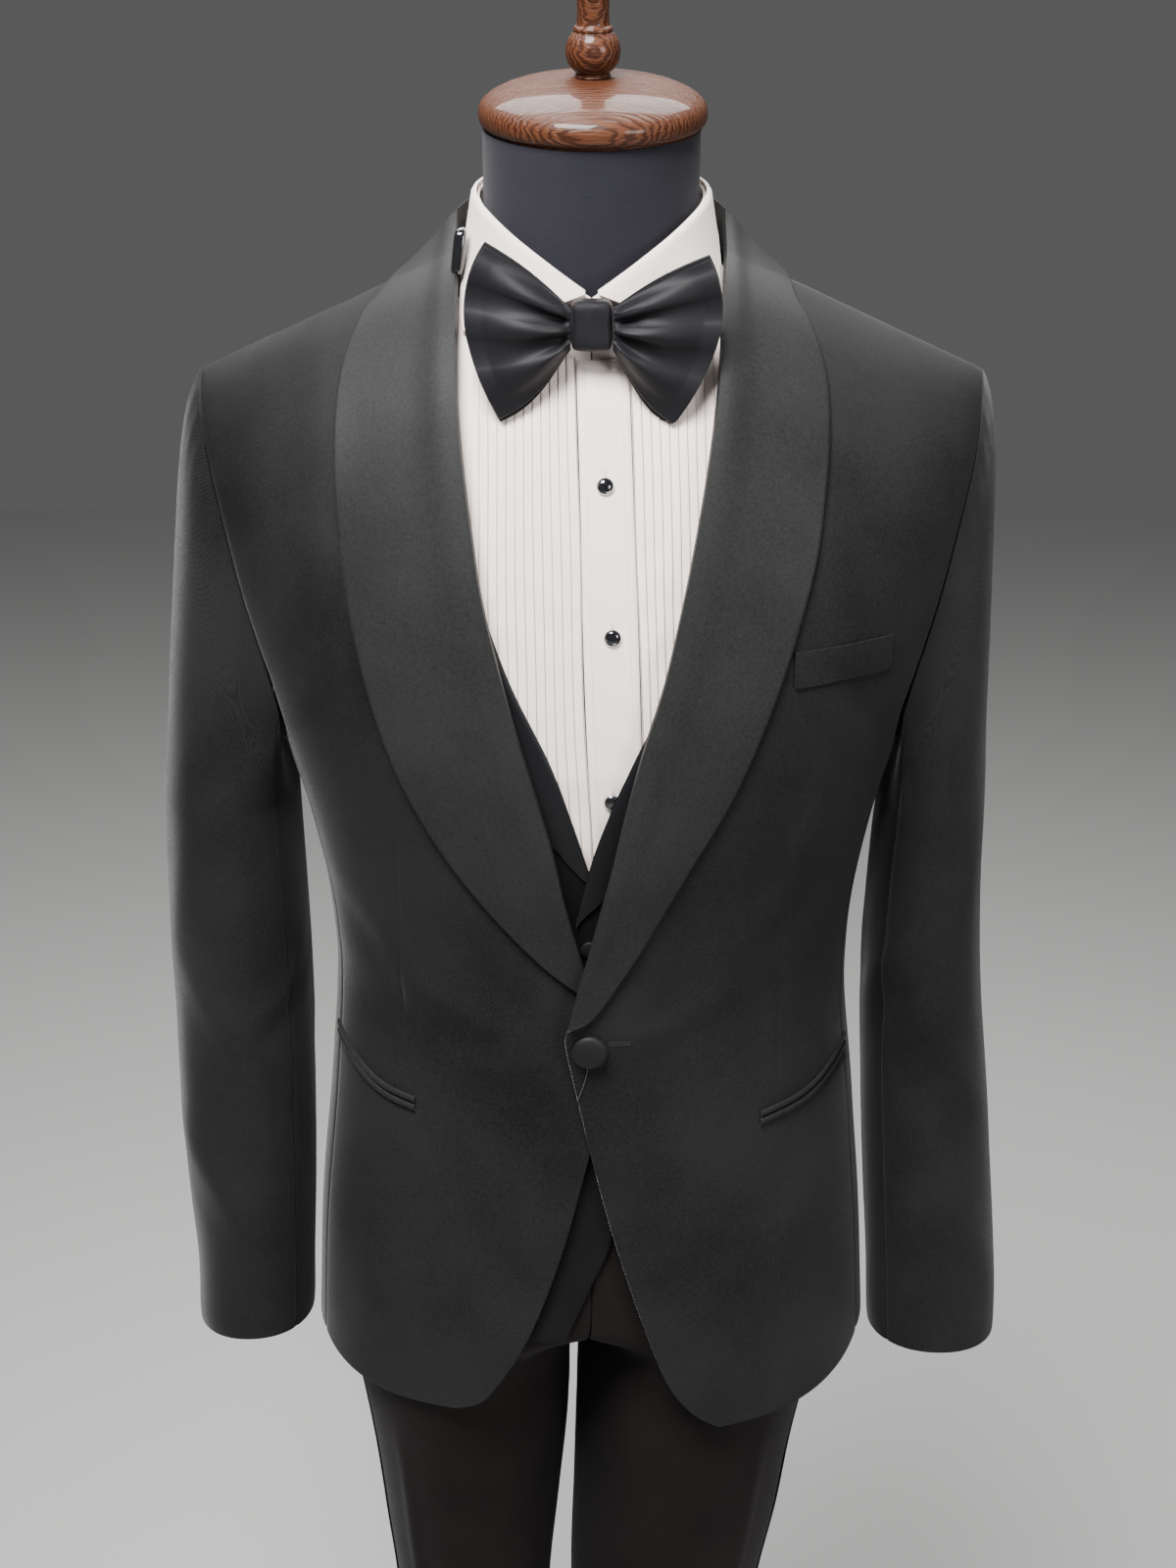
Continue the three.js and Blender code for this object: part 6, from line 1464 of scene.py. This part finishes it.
# Shawl: satin facings turned back from the button up and round the neck, joined behind it. Each rolls softly
# at its inner edge and lies flat on the front at its outer one.
shawl_satin = woven("shawl_satin", (0.005, 0.0053, 0.0051), (0.0205, 0.0213, 0.0207), 0.54, 0.32, 0.03, sheen=0.01,
                    sheen_roughness=0.35, specular=0.13, cloud_mm=140, melange=0.6)
SHAWL = (4, 2.5)
SHAWL_FRONT = {
    "left": table(
        "x z edgeX edgeZ lift low",
        (-13.6, 1129, -14.6, 1128, 0, 1.4), (-9, 1150, 1, 1138, 0, -0.6), (-2, 1178, 19, 1167, 0, -0.6),
        (5, 1208, 37, 1199, 0, -0.6), (12, 1237, 55, 1229, 0, -0.6), (20, 1271, 76, 1267, 0, -0.6),
        (29, 1306, 93, 1305, 0, -0.6), (41, 1346, 109, 1349, 0, -0.6), (52, 1395, 123, 1399, 0, -0.6),
        (59, 1431, 129.5, 1438, 0, -0.6), (65, 1466, 133, 1475, 0, -0.6), (70, 1501, 131.5, 1507, 0, -0.6),
        (73, 1535, 124, 1530, 0, -0.6), (75, 1555, 117, 1541, 0, -0.6), (76.5, 1564.5, 114.5, 1549, 0, -0.6)),
    "right": table(
        "x z edgeX edgeZ lift low",
        (-5, 1142, -4, 1140, 0, -0.6), (2, 1158, 6, 1150, 0, -0.6), (8, 1180, 25, 1166, 0, -0.6),
        (15, 1208, 48, 1190, 0, -0.6), (22, 1243, 73, 1221, 0, -0.6), (31, 1277, 95, 1255, 0, -0.6),
        (41, 1312, 114, 1295, 0, -0.6), (50, 1346, 128, 1341, 0, -0.6), (61, 1392, 138, 1394, 0, -0.6),
        (67, 1432, 142.5, 1438, 0, -0.6), (72, 1470, 144, 1478, 0, -0.6), (75, 1505, 141, 1508, 0, -0.6),
        (75.5, 1537, 132, 1532, 0, -0.6), (76, 1555, 123, 1541, 0, -0.6), (76.5, 1564.5, 117.5, 1547.5, 0, -0.6)),
}
SHAWL_NECK = table(
    "x z edgeX edgeZ lift low",
    (77, 1567.4, 113, 1550.6, 17, -0.6), (68, 1566, 100, 1549, 24, -0.6), (51, 1561, 75, 1548, 30, -0.6),
    (28, 1558, 42, 1547, 35, -0.6), (0.1, 1557, 0.1, 1546.5, 37, -0.6))
STAND_TOP_OUT = 3.8


def shawl_rows(name, sign, stations, behind):
    place = on_back if behind else on_front
    roll_theta, roll_level = (v[:, None] for v in place(stations["x"], stations["z"]))
    edge_theta, edge_level = (v[:, None] for v in place(stations["edgeX"], stations["edgeZ"]))
    lift, low = stations["lift"][:, None], stations["low"][:, None]
    folds = 0 if behind else jacket_folds(roll_theta * sign, roll_level)
    stand_share = np.array([[0, 0.2, 0.4, 0.55]])
    out = mix(low, STAND_TOP_OUT, stand_share) + lap_lift(name, roll_theta, roll_level) + folds
    stand = skin(roll_theta + 0 * stand_share, roll_level + 0 * stand_share, out)
    stand[..., 2] += 0.6 + lift * stand_share
    share = np.concatenate([[0, 0.02, 0.045, 0.075, 0.11, 0.15, 0.2], np.linspace(0.26, 0.94, 18),
                            [0.965, 0.982, 0.993, 1]])[None, :]
    theta, level = mix(roll_theta, edge_theta, share), mix(roll_level, edge_level, share)
    wide = smooth((stations["edgeX"] - stations["x"]) / 60)[:, None]
    out = SHAWL[0] + 2.2 * wide * np.exp(-((share - 0.12) ** 2) / 0.02)
    out = out + 0.5 * wide * np.sin(np.pi * share) * np.sin(level / 47 + 1.2)
    out = out - 0.7 * np.exp(-(((1 - share) / 0.012) ** 2)) * wide
    folds = 0 if behind else jacket_folds(theta * sign, level)
    fall = skin(theta, level, out + lap_lift(name, theta, level) + folds)
    fall[..., 2] += lift * (1 - share) ** 1.35
    rows = np.concatenate([stand, fall], 1)
    rows[..., 0] *= sign
    return rows


for side_name, side_sign in SIDES:
    count = len(SHAWL_FRONT[side_name]["x"])
    outer = np.concatenate([
        shawl_rows(side_name, side_sign, finer(SHAWL_FRONT[side_name], (count - 1) * 7 + 1), False),
        shawl_rows(side_name, side_sign, finer(SHAWL_NECK, 37), True)])
    across, up = np.gradient(outer, axis=1), np.gradient(outer, axis=0)
    normal = np.cross(across, up)
    normal /= np.maximum(np.linalg.norm(normal, axis=-1, keepdims=True), 1e-9)
    shawl = wall(f"shawl_{side_name}", outer, outer - normal * (SHAWL[0] - SHAWL[1]) * side_sign)
    finish_piece(shawl, shawl_satin, "shawl_satin", f"jacket_shawl_{side_name}")

# Breast welt, hip pockets and the button: a slanting welt sewn on the wearer's left, two narrow jets at each
# hip pocket with the dark opening between them, and one covered button through a worked hole.
TRIM = (1.9, 0.5)
WELT = table("u x z", (0, 114.5, 1348.8), (1, 173, 1352))
POCKETS = {"right": table("u x z", (0, -108, 1064.7), (0.5, -134, 1070), (1, -160, 1088)),
           "left": table("u x z", (0, 104, 1056), (0.5, 136, 1063.5), (1, 161, 1079))}


def strip(name, line, width, rise, rows, columns, bulge):
    share = np.linspace(0, 1, columns)
    x, z = read(line, "u", "x", share), read(line, "u", "z", share) + rise
    v = np.linspace(-0.5, 0.5, rows)[:, None]
    theta, level = on_front(x[None, :] + 0 * v, z[None, :] + v * width)
    lift = jacket_folds(theta, level) + bulge * np.cos(np.pi * v)
    return wall(name, skin(theta, level, TRIM[0] + lift), skin(theta, level, TRIM[1] + lift))


welt = strip("breast_welt", WELT, 21, 0, 22, 50, 0.25)
finish_piece(welt, jacket_wool, "jacket_wool", "jacket_breast_welt")
for side_name, side_sign in SIDES:
    for part, rise in (("lower", -2.7), ("upper", 2.7)):
        jet = strip(f"jet_{part}_{side_name}", POCKETS[side_name], 3.9, rise, 9, 60, 0.7)
        finish_piece(jet, jacket_wool, "jacket_wool", f"pocket_jet_{part}_{side_name}")

theta, level = on_front(-1, 1113.8)
button_out = 0.9 + float(lap_lift("left", theta, level) + jacket_folds(theta, level))
covered_button("coat_button", -1, 1113.8, 10.6, 5, button_out, "jacket_button")

wool_thread = thread("wool_thread", (0.02, 0.02, 0.021))
pale_thread = thread("pale_thread", (0.06, 0.06, 0.058))
hole_x = np.linspace(10.5, 23, 20)
hole_rows = []
for offset in (-0.8, 0.8):
    theta, level = on_front(hole_x, 1118.2 + 0.04 * hole_x + offset)
    hole_rows.append(skin(theta, level, 0.25 + lap_lift("left", theta, level) + jacket_folds(theta, level)))
buttonhole = sewn("coat_buttonhole", hole_rows, wool_thread, 0.5, 0.75, 0.25, across=True)
tail_z = np.linspace(1103, 1080, 30)
tail_x = -2.2 - 6 * ((1103 - tail_z) / 23) ** 1.6
theta, level = on_front(tail_x, tail_z)
tail_lift = 1.1 + lap_lift("left", theta, level) + jacket_folds(theta, level)
loose_end = sewn("button_thread", [skin(theta, level, tail_lift)], pale_thread, 0.7, 0.95, 0.3)
